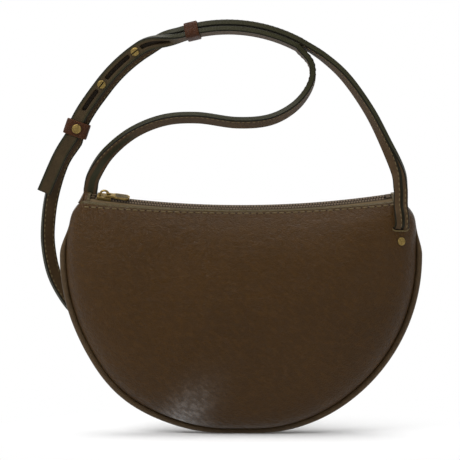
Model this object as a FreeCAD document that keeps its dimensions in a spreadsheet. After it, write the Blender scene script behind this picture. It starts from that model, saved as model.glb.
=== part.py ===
import FreeCAD, Part
import math
import os
import Sketcher

# Half moon bag: two bulging leather panels joined by a piped seam, a zip across the mouth,
# and a doubled shoulder strap with two keepers and two adjuster screws.
# Millimetres. +Z up, -Y towards the viewer, the floor at z = 0, the origin under the middle.

Vector = FreeCAD.Vector

os.makedirs("parts", exist_ok=True)
doc = FreeCAD.newDocument("HalfMoonBag")
sheet = doc.addObject("Spreadsheet::Sheet", "Sizes")

SIZES = [
    ("bag_width", 272),
    ("half_depth", 32),
    ("leather", 1.8),
    ("base_drop", 3),
    ("base_half", 21),
    ("base_press", 0.3),
    ("corner_bend", 22),
    ("seam_gap", 1.0),
    ("piping_diameter", 5),
    ("core_diameter", 3),
    ("flange_depth", 6),
    ("flange_thickness", 1.4),
    ("piping_end_rise", 23),
    ("zip_rise", 36.5),
    ("zip_bend", 750),
    ("zip_end_inset", 5.5),
    ("zip_tilt", 25),
    ("tape_thickness", 0.8),
    ("tape_reach", 4.8),
    ("tape_hem", 6.5),
    ("front_fall", 50),
    ("rear_fall", 45),
    ("tooth_pitch", 2.1),
    ("tooth_length", 1.3),
    ("tooth_width", 2.35),
    ("tooth_height", 2.2),
    ("chain_slit", 1.1),
    ("slider_length", 10.5),
    ("slider_width", 8.4),
    ("slider_plate", 1.2),
    ("slider_post", 0.5),
    ("bridge_bend", 3.2),
    ("bridge_wire", 1.6),
    ("pull_length", 19),
    ("pull_width", 7.2),
    ("pull_thickness", 1.4),
    ("strap_width", 10.5),
    ("strap_thickness", 4.4),
    ("root_thickness", 2.2),
    ("strap_gap", 0.3),
    ("strap_stand_off", 13),
    ("loop_bend", 115.2),
    ("anchor_drop", 29),
    ("rivet_drop", 9),
    ("anchor_rivet_head", 6.2),
    ("rivet_post", 2.6),
    ("keeper_rivet_head", 7.1),
    ("screw_head", 6.3),
    ("screw_head_height", 1.4),
    ("screw_slot", 0.9),
    ("screw_shank", 2.4),
    ("post_bore", 2.5),
    ("post_diameter", 4),
    ("keeper_wall", 1.3),
    ("keeper_length", 10),
    ("riveted_keeper_length", 11.5),
    ("keeper_play", 0.45),
]
for row, (name, value) in enumerate(SIZES, start=1):
    sheet.set("A%d" % row, name)
    sheet.set("B%d" % row, str(value))
    sheet.setAlias("B%d" % row, name)
doc.recompute()


def size(name):
    """A size from the sheet, in millimetres or degrees."""
    return float(sheet.get(name))


leather = size("leather")
outer_bend = size("bag_width") / 2
base_press = size("base_press")
centre_height = outer_bend - size("base_drop") - base_press
seam_bend = outer_bend - size("piping_diameter")
base_half = size("base_half")
base_drop = size("base_drop")
base_bend = (2 * outer_bend * base_drop - base_drop ** 2 - base_half ** 2) / (2 * base_drop)
zip_bend = size("zip_bend")
zip_centre_height = centre_height + size("zip_rise") + zip_bend
zip_half = math.sqrt(seam_bend ** 2 - (size("zip_rise") + 9) ** 2) - size("zip_end_inset")
zip_end_angle = math.asin(zip_half / zip_bend)
tilt = math.radians(size("zip_tilt"))


# The bag's outline and the shape of its panels

def zip_point(angle, across, up):
    """Point beside the zip: angle along the chain, across to the rear, up from the chain."""
    reach = zip_bend - up
    return Vector(reach * math.sin(angle), across, zip_centre_height - reach * math.cos(angle))


seam_end = zip_point(zip_end_angle, 0, -5.8) + Vector(3.2, 0, 0)


def corner_centre():
    """Centre of the bend at the top right corner, inside the large seam circle."""
    bend = size("corner_bend")
    reach = math.hypot(seam_end.x, seam_end.z - centre_height)
    inner = seam_bend - bend
    spread = math.acos((reach ** 2 + inner ** 2 - bend ** 2) / (2 * reach * inner))
    angle = math.atan2(seam_end.z - centre_height, seam_end.x) - spread
    return angle, Vector(inner * math.cos(angle), 0, centre_height + inner * math.sin(angle))


corner_angle, corner_middle = corner_centre()
corner_end_angle = math.atan2(seam_end.z - corner_middle.z, seam_end.x - corner_middle.x)
base_middle = Vector(base_half, 0, base_bend - base_press)
base_angle = math.atan2(base_middle.z - centre_height, base_half)
base_seam_bend = base_bend - size("piping_diameter")


def seam_point(part, inset=0):
    """Point of the seam line: part is -1 at the left zip end, 0 at the base, 1 at the right."""
    runs = [
        base_half,
        base_seam_bend * (base_angle + math.pi / 2),
        seam_bend * (corner_angle - base_angle),
        size("corner_bend") * (corner_end_angle - corner_angle),
    ]
    way = abs(part) * sum(runs)
    if way <= runs[0]:
        x = way
        z = base_middle.z - base_seam_bend + inset
    elif way <= runs[0] + runs[1]:
        angle = -math.pi / 2 + (way - runs[0]) / base_seam_bend
        x = base_middle.x + (base_seam_bend - inset) * math.cos(angle)
        z = base_middle.z + (base_seam_bend - inset) * math.sin(angle)
    elif way <= runs[0] + runs[1] + runs[2]:
        angle = base_angle + (way - runs[0] - runs[1]) / seam_bend
        x = (seam_bend - inset) * math.cos(angle)
        z = centre_height + (seam_bend - inset) * math.sin(angle)
    else:
        angle = corner_angle + (way - runs[0] - runs[1] - runs[2]) / size("corner_bend")
        x = corner_middle.x + (size("corner_bend") - inset) * math.cos(angle)
        z = corner_middle.z + (size("corner_bend") - inset) * math.sin(angle)
    return Vector(math.copysign(x, part), 0, z)


def mouth_edge(side, part, inset=0):
    """Edge of a panel at the mouth, where the leather lies over the zip tape."""
    reach = size("tape_reach")
    fall = math.radians(size("front_fall" if side < 0 else "rear_fall"))
    run = (0.7 if side < 0 else 1.8) + 3.2 * part * part
    lift = size("tape_thickness") / 2 + 0.2 + leather - inset
    across = reach * math.cos(tilt) + run * math.cos(fall) + lift * math.sin(fall)
    up = side * reach * math.sin(tilt) - run * math.sin(fall) + lift * math.cos(fall)
    return zip_point(part * zip_end_angle, side * across, up), fall


def bezier(values, way):
    """Point of a curve pulled by the given values, way from 0 to 1."""
    last = len(values) - 1
    total = 0
    for index, value in enumerate(values):
        total += math.comb(last, index) * way ** index * (1 - way) ** (last - index) * value
    return total


def panel_point(side, part, way, inset=0):
    """Point of a panel: part runs along the seam, way from the mouth to the seam, inset inwards."""
    mouth, fall = mouth_edge(side, part, inset)
    seam = seam_point(part, inset)
    run = Vector(seam.x - mouth.x, 0, seam.z - mouth.z)
    length = (seam_point(part) - mouth_edge(side, part)[0]).Length
    belly = 8 + (size("half_depth") - 8) * (1 - abs(part) ** 2.5) ** 1.1 - inset
    start = abs(mouth.y)
    overhang = 0.4 * min(1, length / 40)
    along = bezier([0, 0.1, 0.32, 0.66, 1 + (overhang / length + 0.03) / 0.33, 1], way)
    out = bezier([start, start + 0.1 * length / math.tan(fall), 1.2 * belly, 1.3 * belly,
                  0.55 * belly, size("seam_gap")], way)
    return Vector(mouth.x + along * run.x, side * out, mouth.z + along * run.z)


def panel_normal(side, part, way):
    """Outward direction of a panel's outer face."""
    step = 0.004
    low_part = max(-1, part - step)
    high_part = min(1, part + step)
    low_way = max(0, way - step)
    high_way = min(1, way + step)
    along = panel_point(side, high_part, way) - panel_point(side, low_part, way)
    down = panel_point(side, part, high_way) - panel_point(side, part, low_way)
    normal = down.cross(along)
    if side > 0:
        normal = normal * -1
    return normal.normalize()


def panel_place(side, x, z):
    """Part and way of the panel's point that stands at x, z."""
    part = x / outer_bend
    way = 0.4
    step = 0.001
    for turn in range(40):
        here = panel_point(side, part, way)
        by_part = (panel_point(side, part + step, way) - here) * (1 / step)
        by_way = (panel_point(side, part, way + step) - here) * (1 / step)
        miss_x = x - here.x
        miss_z = z - here.z
        spread = by_part.x * by_way.z - by_way.x * by_part.z
        part += 0.7 * (miss_x * by_way.z - by_way.x * miss_z) / spread
        way += 0.7 * (by_part.x * miss_z - miss_x * by_part.z) / spread
        part = min(0.97, max(-0.97, part))
        way = min(0.98, max(0.02, way))
    return part, way


def skin(side, inset):
    """Smooth face through points of a panel's inner or outer side."""
    parts = [index / 18 - 1 for index in range(37)]
    ways = [index / 10 for index in range(11)]
    surface = Part.BSplineSurface()
    surface.interpolate([[panel_point(side, part, way, inset) for way in ways] for part in parts])
    return surface.toShape()


def panel_solid(side):
    """Leather panel closed by ruled edges between its two faces, flat where it stands."""
    outer = skin(side, 0)
    inner = skin(side, leather)
    faces = [outer, inner]
    for edge in outer.Edges:
        middle = edge.valueAt((edge.FirstParameter + edge.LastParameter) / 2)
        facing = min(inner.Edges, key=lambda other: other.valueAt(
            (other.FirstParameter + other.LastParameter) / 2).distanceToPoint(middle))
        faces.append(Part.makeRuledSurface(edge, facing))
    shell = Part.makeShell(faces)
    shell.sewShape()
    solid = Part.makeSolid(shell)
    if solid.Volume < 0:
        solid.reverse()
    floor = Part.makeBox(400, 400, 20, Vector(-200, -200, -20))
    return solid.cut(floor)


# Flat leather straps: rows of rectangles along a route

def smooth_rows(rows, count):
    """Rows in between the given ones, on a smooth curve through them."""
    first = [2 * a - b for a, b in zip(rows[0], rows[1])]
    last = [2 * a - b for a, b in zip(rows[-1], rows[-2])]
    full = [first] + [list(row) for row in rows] + [last]
    found = []
    for index in range(1, len(full) - 2):
        for step in range(count):
            t = step / count
            weights = (
                -0.5 * t + t * t - 0.5 * t ** 3,
                1 - 2.5 * t * t + 1.5 * t ** 3,
                0.5 * t + 2 * t * t - 1.5 * t ** 3,
                -0.5 * t * t + 0.5 * t ** 3,
            )
            found.append([sum(w * full[index - 1 + k][c] for k, w in enumerate(weights))
                          for c in range(len(rows[0]))])
    found.append(list(rows[-1]))
    return found


hinge_x = zip_half - 0.6
hinge_y = size("strap_stand_off")
hinge_z = seam_end.z + 10
hinge_reach = math.hypot(hinge_x, hinge_y)
turn = math.atan2(hinge_y, hinge_x)
SIDEWAYS = Vector(math.cos(turn), -math.sin(turn), 0)
BACKWARDS = Vector(math.sin(turn), math.cos(turn), 0)
UP = Vector(0, 0, 1)
LOOP_ACROSS = -10.66
loop_height = hinge_z + 7
FRONT_HINGE = hinge_reach + 0.9
REAR_HINGE = 3.2 - hinge_reach
ANCHOR_LEAN = 2.0
strap_width = size("strap_width")
strap_thickness = size("strap_thickness")


def strap_place(across, up, back):
    """Point of the upright plane in which the strap stands."""
    return SIDEWAYS * across + UP * up + BACKWARDS * back


def hinge_spot(side):
    """Point where the front strap (side -1) or the rear strap (side 1) bends at the bag's top."""
    return strap_place(FRONT_HINGE if side < 0 else REAR_HINGE, hinge_z, 0)


def route_frames(rows, count):
    """Centre, width direction and thickness direction along a route of rows.

    A row holds across, up, back and the turn of the width direction in degrees.
    """
    fine = smooth_rows(rows, count)
    frames = []
    for index, (across, up, back, twist) in enumerate(fine):
        before = fine[max(0, index - 1)]
        after = fine[min(len(fine) - 1, index + 1)]
        run = math.hypot(after[0] - before[0], after[1] - before[1])
        right = SIDEWAYS * ((after[1] - before[1]) / run) - UP * ((after[0] - before[0]) / run)
        angle = math.radians(twist)
        width = BACKWARDS * math.cos(angle) + right * math.sin(angle)
        depth = right * math.cos(angle) - BACKWARDS * math.sin(angle)
        frames.append((strap_place(across, up, back), width, depth))
    return frames


def ribbon(frames, width, thicknesses):
    """Solid with a rectangle at every frame, ruled between them."""
    wires = []
    for (centre, across, depth), thickness in zip(frames, thicknesses):
        corners = []
        for a, d in ((-1, -1), (1, -1), (1, 1), (-1, 1), (-1, -1)):
            corners.append(centre + across * (a * width / 2) + depth * (d * thickness / 2))
        wires.append(Part.makePolygon(corners))
    return Part.makeLoft(wires, True, True)


def ease(value, low, high):
    """0 below low, 1 above high and smooth in between."""
    t = min(1, max(0, (value - low) / (high - low)))
    return t * t * (3 - 2 * t)


def pair_frame(degrees):
    """Middle of the doubled strap at an angle round the loop's centre, with its directions."""
    angle = math.radians(degrees)
    out = SIDEWAYS * math.cos(angle) + UP * math.sin(angle)
    reach = size("loop_bend") + 2.4 * ease(degrees, 107, 123) + 3 * ease(degrees, 143, 163)
    twist = math.radians(14 + 68 * ease(degrees, 106, 123))
    width = BACKWARDS * math.cos(twist) - out * math.sin(twist)
    depth = BACKWARDS * -math.sin(twist) - out * math.cos(twist)
    centre = strap_place(LOOP_ACROSS, loop_height, 0) + out * reach
    return centre, width, depth


def strand_frame(degrees, side):
    """The front strap (side -1) or the rear strap (side 1) where the two lie together."""
    centre, width, depth = pair_frame(degrees)
    shift = 1.9 * ease(degrees, 107, 123)
    half = (strap_thickness + size("strap_gap")) / 2
    return centre + depth * (side * half) - width * (side * shift), width, depth


def row_of(frame, twist):
    """Route row of a frame."""
    centre = frame[0]
    return [centre.dot(SIDEWAYS), centre.z, centre.dot(BACKWARDS), twist]


PAIR_START = 62
PAIR_END = 164
PAIR_ANGLES = [PAIR_START + (PAIR_END - PAIR_START) * index / 24 for index in range(25)]
KEEPER_ANGLE = 103
RIVETED_KEEPER_ANGLE = 161
UPPER_SCREW_ANGLE = 125.5
LOWER_SCREW_ANGLE = 142.5


def loop_row(degrees, reach, back, twist):
    """Route row at an angle and reach round the loop's centre."""
    angle = math.radians(degrees)
    return [LOOP_ACROSS + reach * math.cos(angle), loop_height + reach * math.sin(angle), back, twist]


front_rise = [
    [FRONT_HINGE, hinge_z, 0, -90],
    [FRONT_HINGE - 1.3, hinge_z + 14, 0, -80],
    [FRONT_HINGE - 8.7, hinge_z + 35.4, 0, -52],
    loop_row(26.2, size("loop_bend") + 3.6, 0, -37),
    loop_row(40.4, size("loop_bend") + 2.7, 0, -30),
    loop_row(51.5, size("loop_bend") + 2.3, 0.3, -21),
    row_of(strand_frame(PAIR_START, -1), -14),
]
rear_rise = [
    [REAR_HINGE, hinge_z, 0, 90],
    [REAR_HINGE + 1.6, hinge_z + 11, 0, 74],
    [REAR_HINGE + 13.2, hinge_z + 27.5, 0, 48],
    [-82, hinge_z + 43.2, 0, 36],
    [-58.5, hinge_z + 52.6, 0, 33],
    [-33, hinge_z + 54.4, 0, 33],
    [-3, hinge_z + 51.4, 0, 33],
    [22, hinge_z + 53.8, 0, 29],
    [41, hinge_z + 63.2, 0, 18],
    [52.3, hinge_z + 79, 0, 3],
    [52.8, hinge_z + 94, -0.3, -8],
    row_of(strand_frame(PAIR_START, 1), -14),
]
short_tail = [
    row_of(strand_frame(PAIR_END, 1), -82),
    [-outer_bend - 1.5, hinge_z + 25, -3.6, -80],
    [-outer_bend - 13, hinge_z, -4.6, -76],
]
tail_pivot, tail_width, tail_depth = strand_frame(PAIR_END + 1.6, -1)
tail_start = row_of((tail_pivot, tail_width, tail_depth), -82)
long_tail = [
    tail_start,
    [-outer_bend + 1.2, hinge_z + 21, 3.6, -76],
    [-outer_bend - 6, hinge_z - 2, 4.4, -64],
    [-outer_bend - 9.2, hinge_z - 24, 4.8, -54],
    [-outer_bend - 9, hinge_z - 43, 5, -52],
    [-outer_bend - 4.4, hinge_z - 64, 5.6, -52],
    [-outer_bend + 4.5, hinge_z - 82.5, 6.8, -52],
    [-outer_bend + 15, hinge_z - 97, 8.4, -52],
]


def thick(frames):
    """The strap's full thickness at every frame."""
    return [strap_thickness for frame in frames]


def knuckle(pivot, direction):
    """Rounded end on which a strap bends, a hair smaller than the strap all round."""
    length = strap_width - 0.06
    return Part.makeCylinder(strap_thickness / 2 - 0.03, length, pivot - direction * (length / 2), direction)


def strand(rise, side, after):
    """Strap from its bend at the bag's top to its end."""
    frames = route_frames(rise, 4)[:-1]
    frames[0] = (frames[0][0], SIDEWAYS * side, BACKWARDS * -side)
    frames += [strand_frame(angle, side) for angle in PAIR_ANGLES]
    if after:
        frames += route_frames(after, 3)[1:]
    return ribbon(frames, strap_width, thick(frames)).fuse(knuckle(frames[0][0], frames[0][1]))


def root_frames(side):
    """Frames of a strap end: down the panel's outside, in through the slot and down inside."""
    top = hinge_spot(side)
    slot = hinge_z - size("anchor_drop")
    thin = size("root_thickness")
    out = strap_thickness / 2 + 0.3
    inside = leather + thin / 2 + 0.3
    drops = [
        (hinge_z - strap_thickness / 2 - size("strap_gap"), None, strap_thickness, 0),
        (slot + 17, None, strap_thickness, 0),
        (slot + 8, out, strap_thickness * 0.8, 0.6),
        (slot + 3, thin / 2 + 0.3, thin, 1),
        (slot - 1, -inside * 0.55, thin, 1),
        (slot - 4.5, -inside, thin, 1),
        (slot - 10, -inside, thin, 1),
        (slot - 16, -inside, thin, 1),
        (slot - 18, -inside, thin, 1),
    ]
    points = []
    leans = []
    for z, away, thickness, flat in drops:
        if away is None:
            points.append(Vector(top.x, top.y + side * 0.03 * (hinge_z - z), z))
            leans.append(BACKWARDS * side)
        else:
            place = panel_place(side, top.x - side * ANCHOR_LEAN * flat, z)
            normal = panel_normal(side, *place)
            points.append(panel_point(side, *place) + normal * away)
            leans.append(BACKWARDS * (side * (1 - flat)) + normal * flat)
    frames = []
    for index, point in enumerate(points):
        before = points[max(0, index - 1)]
        after = points[min(len(points) - 1, index + 1)]
        width = (after - before).cross(leans[index] * -side).normalize()
        frames.append((point, width, width.cross(after - before).normalize()))
    return frames, [thickness for z, away, thickness, flat in drops]


def anchor_frame(side):
    """Outer leather point under an anchor rivet, with the direction out of the panel."""
    x = hinge_spot(side).x - side * ANCHOR_LEAN * 0.8
    place = panel_place(side, x, hinge_z - size("anchor_drop") - size("rivet_drop"))
    return panel_point(side, *place), panel_normal(side, *place)


def placed(origin, along, up):
    """Placement with its X axis near along and its Z axis along up."""
    z = Vector(up).normalize()
    y = z.cross(along).normalize()
    x = y.cross(z)
    return FreeCAD.Placement(FreeCAD.Matrix(
        x.x, y.x, z.x, origin.x,
        x.y, y.y, z.y, origin.y,
        x.z, y.z, z.z, origin.z,
        0, 0, 0, 1))


def zip_placement(x):
    """Placement on the chain at x: X along the zip, Y across it, Z out of it."""
    angle = math.asin(x / zip_bend)
    along = Vector(math.cos(angle), 0, math.sin(angle))
    rise = Vector(-math.sin(angle), 0, math.cos(angle))
    return placed(zip_point(angle, 0, 0), along, rise * math.cos(tilt) - Vector(0, math.sin(tilt), 0))


# Makers of named pieces

PIECES = []


def feature(label, shape):
    """Piece whose shape no sketch or primitive gives."""
    piece = doc.addObject("Part::Feature", label)
    piece.Shape = shape
    piece.Label = label
    PIECES.append(piece)
    return piece


def number(holder, text):
    """Value of an expression on the sheet."""
    value = holder.evalExpression(text)
    return float(getattr(value, "Value", value))


def profile(body, label, role, corners):
    """Closed outline on a plane of the body, every corner given by two expressions."""
    sketch = body.newObject("Sketcher::SketchObject", label)
    plane = [item for item in body.Origin.OriginFeatures if item.Role == role][0]
    sketch.AttachmentSupport = [(plane, "")]
    sketch.MapMode = "FlatFace"
    spots = [Vector(number(sketch, across), number(sketch, up), 0) for across, up in corners]
    count = len(spots)
    for index in range(count):
        sketch.addGeometry(Part.LineSegment(spots[index], spots[(index + 1) % count]), False)
    for index in range(count):
        sketch.addConstraint(Sketcher.Constraint("Coincident", index, 2, (index + 1) % count, 1))
    for index, (across, up) in enumerate(corners):
        for kind, axis, text, value in (("DistanceX", -2, across, spots[index].x),
                                        ("DistanceY", -1, up, spots[index].y)):
            if text == "0":
                sketch.addConstraint(Sketcher.Constraint("PointOnObject", index, 1, axis))
            else:
                held = sketch.addConstraint(Sketcher.Constraint(kind, -1, 1, index, 1, value))
                sketch.setExpression("Constraints[%d]" % held, text)
    return sketch


def turned(label, corners, role="XZ_Plane", axis="V_Axis", angle="360"):
    """Body turned from an outline."""
    body = doc.addObject("PartDesign::Body", label)
    body.Label = label
    sketch = profile(body, label + "_outline", role, corners)
    revolution = body.newObject("PartDesign::Revolution", label + "_turn")
    revolution.Profile = sketch
    revolution.ReferenceAxis = (sketch, [axis])
    revolution.setExpression("Angle", angle)
    PIECES.append(body)
    return body


def block(label, sizes, corner):
    """Box whose three sizes and corner are expressions."""
    box = doc.addObject("Part::Box", label)
    for side, text in zip(("Length", "Width", "Height"), sizes):
        box.setExpression(side, text)
    for axis, text in zip("xyz", corner):
        box.setExpression("Placement.Base." + axis, text)
    return box


def joined(label, shapes):
    """Several primitives fused to one piece."""
    fusion = doc.addObject("Part::MultiFuse", label)
    fusion.Shapes = shapes
    fusion.Label = label
    PIECES.append(fusion)
    return fusion


def carved(label, base, tools):
    """A primitive with others cut from it."""
    for index, tool in enumerate(tools):
        cut = doc.addObject("Part::Cut", label if index == len(tools) - 1 else label + "_step")
        cut.Base = base
        cut.Tool = tool
        base = cut
    base.Label = label
    PIECES.append(base)
    return base


def hole(point, direction, diameter, depth):
    """Cylinder that cuts a hole through leather, from both sides of a point."""
    return Part.makeCylinder(diameter / 2, 2 * depth, point - direction * depth, direction)


# Panels with their strap slots and rivet holes

rivet_hole = size("rivet_post") + 0.2
root_solids = {}
for side, label in ((-1, "front_panel"), (1, "back_panel")):
    frames, thicknesses = root_frames(side)
    root = ribbon(frames[:-1], strap_width, thicknesses[:-1])
    slot = ribbon(frames, strap_width + 1.2, [value + 0.6 for value in thicknesses])
    point, normal = anchor_frame(side)
    bore = hole(point, normal, rivet_hole, 14)
    root_solids[side] = root.cut(bore)
    feature(label, panel_solid(side).cut(slot).cut(bore))

# Piped seam: a cord in a leather cover whose flange lies between the two panels

MIDDLE = Vector(0, 0, centre_height)
Y_AXIS = Vector(0, 1, 0)
piping_bend = outer_bend - size("piping_diameter") / 2
piping_end_angle = math.asin(size("piping_end_rise") / piping_bend)
core_end_angle = math.asin(4 / piping_bend)


def seam_run(section, last_angle):
    """A section carried along the seam; section takes its start point and outward direction."""
    runs = []
    for hand in (-1, 1):
        start = Vector(hand * math.cos(base_angle), 0, math.sin(base_angle))
        sweep = math.degrees(last_angle - base_angle)
        runs.append(section(MIDDLE + start * seam_bend, start).revolve(MIDDLE, Y_AXIS, -hand * sweep))
        middle = Vector(hand * base_half, 0, base_middle.z)
        down = Vector(0, 0, -1)
        sweep = math.degrees(base_angle + math.pi / 2)
        runs.append(section(middle + down * base_seam_bend, down).revolve(middle, Y_AXIS, -hand * sweep))
    start = Vector(-base_half, 0, base_middle.z - base_seam_bend)
    runs.append(section(start, Vector(0, 0, -1)).extrude(Vector(2 * base_half, 0, 0)))
    return runs


def round_section(diameter):
    """Round section whose middle lies half a piping outside the seam."""
    def section(point, out):
        centre = point + out * (size("piping_diameter") / 2)
        return Part.Face(Part.Wire(Part.makeCircle(diameter / 2, centre, out.cross(Y_AXIS))))
    return section


def flange_section(outside):
    """Flat section between the panels, from inside the seam to a little outside it."""
    def section(point, out):
        half = Vector(0, size("flange_thickness") / 2, 0)
        low = point - out * size("flange_depth")
        high = point + out * outside
        return Part.Face(Part.makePolygon([low - half, low + half, high + half, high - half, low - half]))
    return section


def merged(solids):
    """One solid of several that touch."""
    return solids[0].multiFuse(solids[1:]).removeSplitter()


core = merged(seam_run(round_section(size("core_diameter")), core_end_angle))
hollow = merged(seam_run(round_section(size("core_diameter") + 0.1), core_end_angle + 0.001))
cord = merged(seam_run(round_section(size("piping_diameter")), piping_end_angle))
flange = seam_run(flange_section(1.2), piping_end_angle)
for hand in (-1, 1):
    start = Vector(hand * math.cos(piping_end_angle), 0, math.sin(piping_end_angle))
    sweep = math.degrees(corner_angle - piping_end_angle)
    top = flange_section(-0.2)(MIDDLE + start * seam_bend, start)
    flange.append(top.revolve(MIDDLE, Y_AXIS, -hand * sweep))
    start = Vector(hand * math.cos(corner_angle), 0, math.sin(corner_angle))
    middle = Vector(hand * corner_middle.x, 0, corner_middle.z)
    sweep = math.degrees(corner_end_angle - corner_angle) - 2
    top = flange_section(-0.2)(middle + start * size("corner_bend"), start)
    flange.append(top.revolve(middle, Y_AXIS, -hand * sweep))
tapers = []
for hand in (-1, 1):
    low = Vector(hand * outer_bend, -10, centre_height + 6)
    high = Vector(hand * (seam_bend - 3.6), -10, centre_height + size("piping_end_rise") + 4)
    far = Vector(hand * (outer_bend + 20), -10, centre_height + size("piping_end_rise") + 4)
    wedge = Part.Face(Part.makePolygon([low, high, far, low]))
    tapers.append(wedge.extrude(Vector(0, 20, 0)))
floor = Part.makeBox(400, 20, 10, Vector(-200, -10, -10))
cover = merged([cord.cut(tapers[0]).cut(tapers[1])] + flange).cut(hollow).cut(floor)
feature("piping_cover", cover)
feature("piping_core", core)

# Zip tapes, turned about the far centre of the zip's bend

half_tape = "Sizes.tape_thickness / 2"
reach_y = "Sizes.tape_reach * cos(Sizes.zip_tilt * 1deg)"
reach_z = "Sizes.tape_reach * sin(Sizes.zip_tilt * 1deg)"
inner_y = "(Sizes.chain_slit / 2 + 0.2) * cos(Sizes.zip_tilt * 1deg)"
inner_z = "(Sizes.chain_slit / 2 + 0.2) * sin(Sizes.zip_tilt * 1deg)"
skew_y = half_tape + " * sin(Sizes.zip_tilt * 1deg)"
skew_z = half_tape + " * cos(Sizes.zip_tilt * 1deg)"


def tape(label, hand, fall):
    """Tape that lies in the chain's plane, then falls away under the leather."""
    sign = "-1 * " if hand < 0 else ""
    drop = "(Sizes.%s + 4) * 1deg" % fall
    rise = "-1 * " if hand < 0 else ""
    end_y = sign + "(%s + Sizes.tape_hem * cos(%s))" % (reach_y, drop)
    end_z = rise + reach_z + " - Sizes.tape_hem * sin(%s)" % drop
    hem_y = half_tape + " * sin(%s)" % drop
    hem_z = half_tape + " * cos(%s)" % drop
    level = " - Sizes.zip_bend"
    corners = [
        (sign + inner_y + " - " + skew_y, rise + inner_z + " + " + skew_z + level),
        (sign + reach_y + " - " + skew_y, rise + reach_z + " + " + skew_z + level),
        (end_y + (" - " if hand < 0 else " + ") + hem_y, end_z + " + " + hem_z + level),
        (end_y + (" + " if hand < 0 else " - ") + hem_y, end_z + " - " + hem_z + level),
        (sign + reach_y + " + " + skew_y, rise + reach_z + " - " + skew_z + level),
        (sign + inner_y + " + " + skew_y, rise + inner_z + " - " + skew_z + level),
    ]
    span = 2 * math.degrees(zip_end_angle) - 0.1
    body = turned(label, corners, "YZ_Plane", "H_Axis", "%.6f" % span)
    body.Placement = FreeCAD.Placement(
        Vector(0, 0, zip_centre_height), FreeCAD.Rotation(Y_AXIS, -span / 2))
    return body


tape("front_zip_tape", -1, "front_fall")
tape("rear_zip_tape", 1, "rear_fall")

# Zip teeth and stops

slider_rest = -zip_half + 14.6
first_tooth = -zip_half + 9.2
last_tooth = zip_half - 10.5
tooth_count = int((last_tooth - first_tooth) / size("tooth_pitch"))
for hand, label in ((-1, "front_zip_teeth"), (1, "rear_zip_teeth")):
    teeth = []
    for index in range(tooth_count):
        x = first_tooth + (index + (0.5 if hand > 0 else 0)) * size("tooth_pitch")
        near = size("chain_slit") / 2
        start = near if hand > 0 else -near - size("tooth_width")
        tooth = Part.makeBox(size("tooth_length"), size("tooth_width"), size("tooth_height"),
                             Vector(-size("tooth_length") / 2, start, -size("tooth_height") / 2))
        slot = Part.makeBox(size("tooth_length") + 1, size("tooth_width"), size("tape_thickness") + 0.02,
                            Vector(-size("tooth_length") / 2 - 0.5,
                                   start + (0.2 if hand > 0 else -0.2), -size("tape_thickness") / 2 - 0.01))
        tooth = tooth.cut(slot)
        tooth.Placement = zip_placement(x)
        teeth.append(tooth)
    feature(label, Part.makeCompound(teeth))

stops = []
for hand in (-1, 1):
    start = size("chain_slit") / 2 if hand > 0 else -size("chain_slit") / 2 - size("tooth_width")
    for level in (size("tape_thickness") / 2 + 0.01, -size("tape_thickness") / 2 - 1.01):
        stop = Part.makeBox(2.4, size("tooth_width"), 1.0, Vector(-1.2, start, level))
        stop.Placement = zip_placement(-zip_half + 6.4)
        stops.append(stop)
feature("zip_top_stops", Part.makeCompound(stops))

stop = block("zip_bottom_block", ("3.4", "2 * Sizes.tooth_width + Sizes.chain_slit", "Sizes.tooth_height + 0.6"),
             ("-1.7", "-Sizes.tooth_width - Sizes.chain_slit / 2", "-Sizes.tooth_height / 2 - 0.3"))
gaps = []
for hand, start in (("front", "-6"), ("rear", "Sizes.chain_slit / 2 + 0.18")):
    gaps.append(block("zip_bottom_gap_" + hand, ("6", "6 - Sizes.chain_slit / 2 - 0.18",
                "Sizes.tape_thickness + 0.02"), ("-3", start, "-Sizes.tape_thickness / 2 - 0.01")))
bottom_stop = carved("zip_bottom_stop", stop, gaps)
bottom_stop.Placement = zip_placement(zip_half - 7)

# Slider: two plates with flanges, joined by a thin post that runs between the rows of teeth

half_chain = "(Sizes.tooth_height / 2 + 0.3)"
half_width = "Sizes.slider_width / 2"
pieces = [
    block("slider_top", ("Sizes.slider_length", "Sizes.slider_width", "Sizes.slider_plate"),
          ("-Sizes.slider_length / 2", "-" + half_width, half_chain)),
    block("slider_bottom", ("Sizes.slider_length", "Sizes.slider_width", "Sizes.slider_plate"),
          ("-Sizes.slider_length / 2", "-" + half_width, "-" + half_chain + " - Sizes.slider_plate")),
    block("slider_link", ("4", "Sizes.slider_post", "2 * " + half_chain + " + 0.4"),
          ("-Sizes.slider_length / 2", "-Sizes.slider_post / 2", "-" + half_chain + " - 0.2")),
]
flange_height = half_chain + " - Sizes.tape_thickness / 2 - 0.3"
for name, across in (("front", "-" + half_width), ("rear", half_width + " - 0.9")):
    pieces.append(block("slider_upper_" + name, ("Sizes.slider_length", "0.9", flange_height + " + 0.2"),
                        ("-Sizes.slider_length / 2", across, "Sizes.tape_thickness / 2 + 0.3")))
    pieces.append(block("slider_lower_" + name, ("Sizes.slider_length", "0.9", flange_height + " + 0.2"),
                        ("-Sizes.slider_length / 2", across, "-" + half_chain + " - 0.2")))
bridge = doc.addObject("Part::Torus", "slider_bridge")
bridge.setExpression("Radius1", "Sizes.bridge_bend")
bridge.setExpression("Radius2", "Sizes.bridge_wire / 2")
bridge.Angle3 = 180
bridge_level = half_chain + " + Sizes.slider_plate + Sizes.pull_thickness / 2 + 0.3"
bridge.Placement = FreeCAD.Placement(Vector(0, 0, 0), FreeCAD.Rotation(Vector(1, 0, 0), 90))
bridge.setExpression("Placement.Base.z", bridge_level)
pieces.append(bridge)
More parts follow.
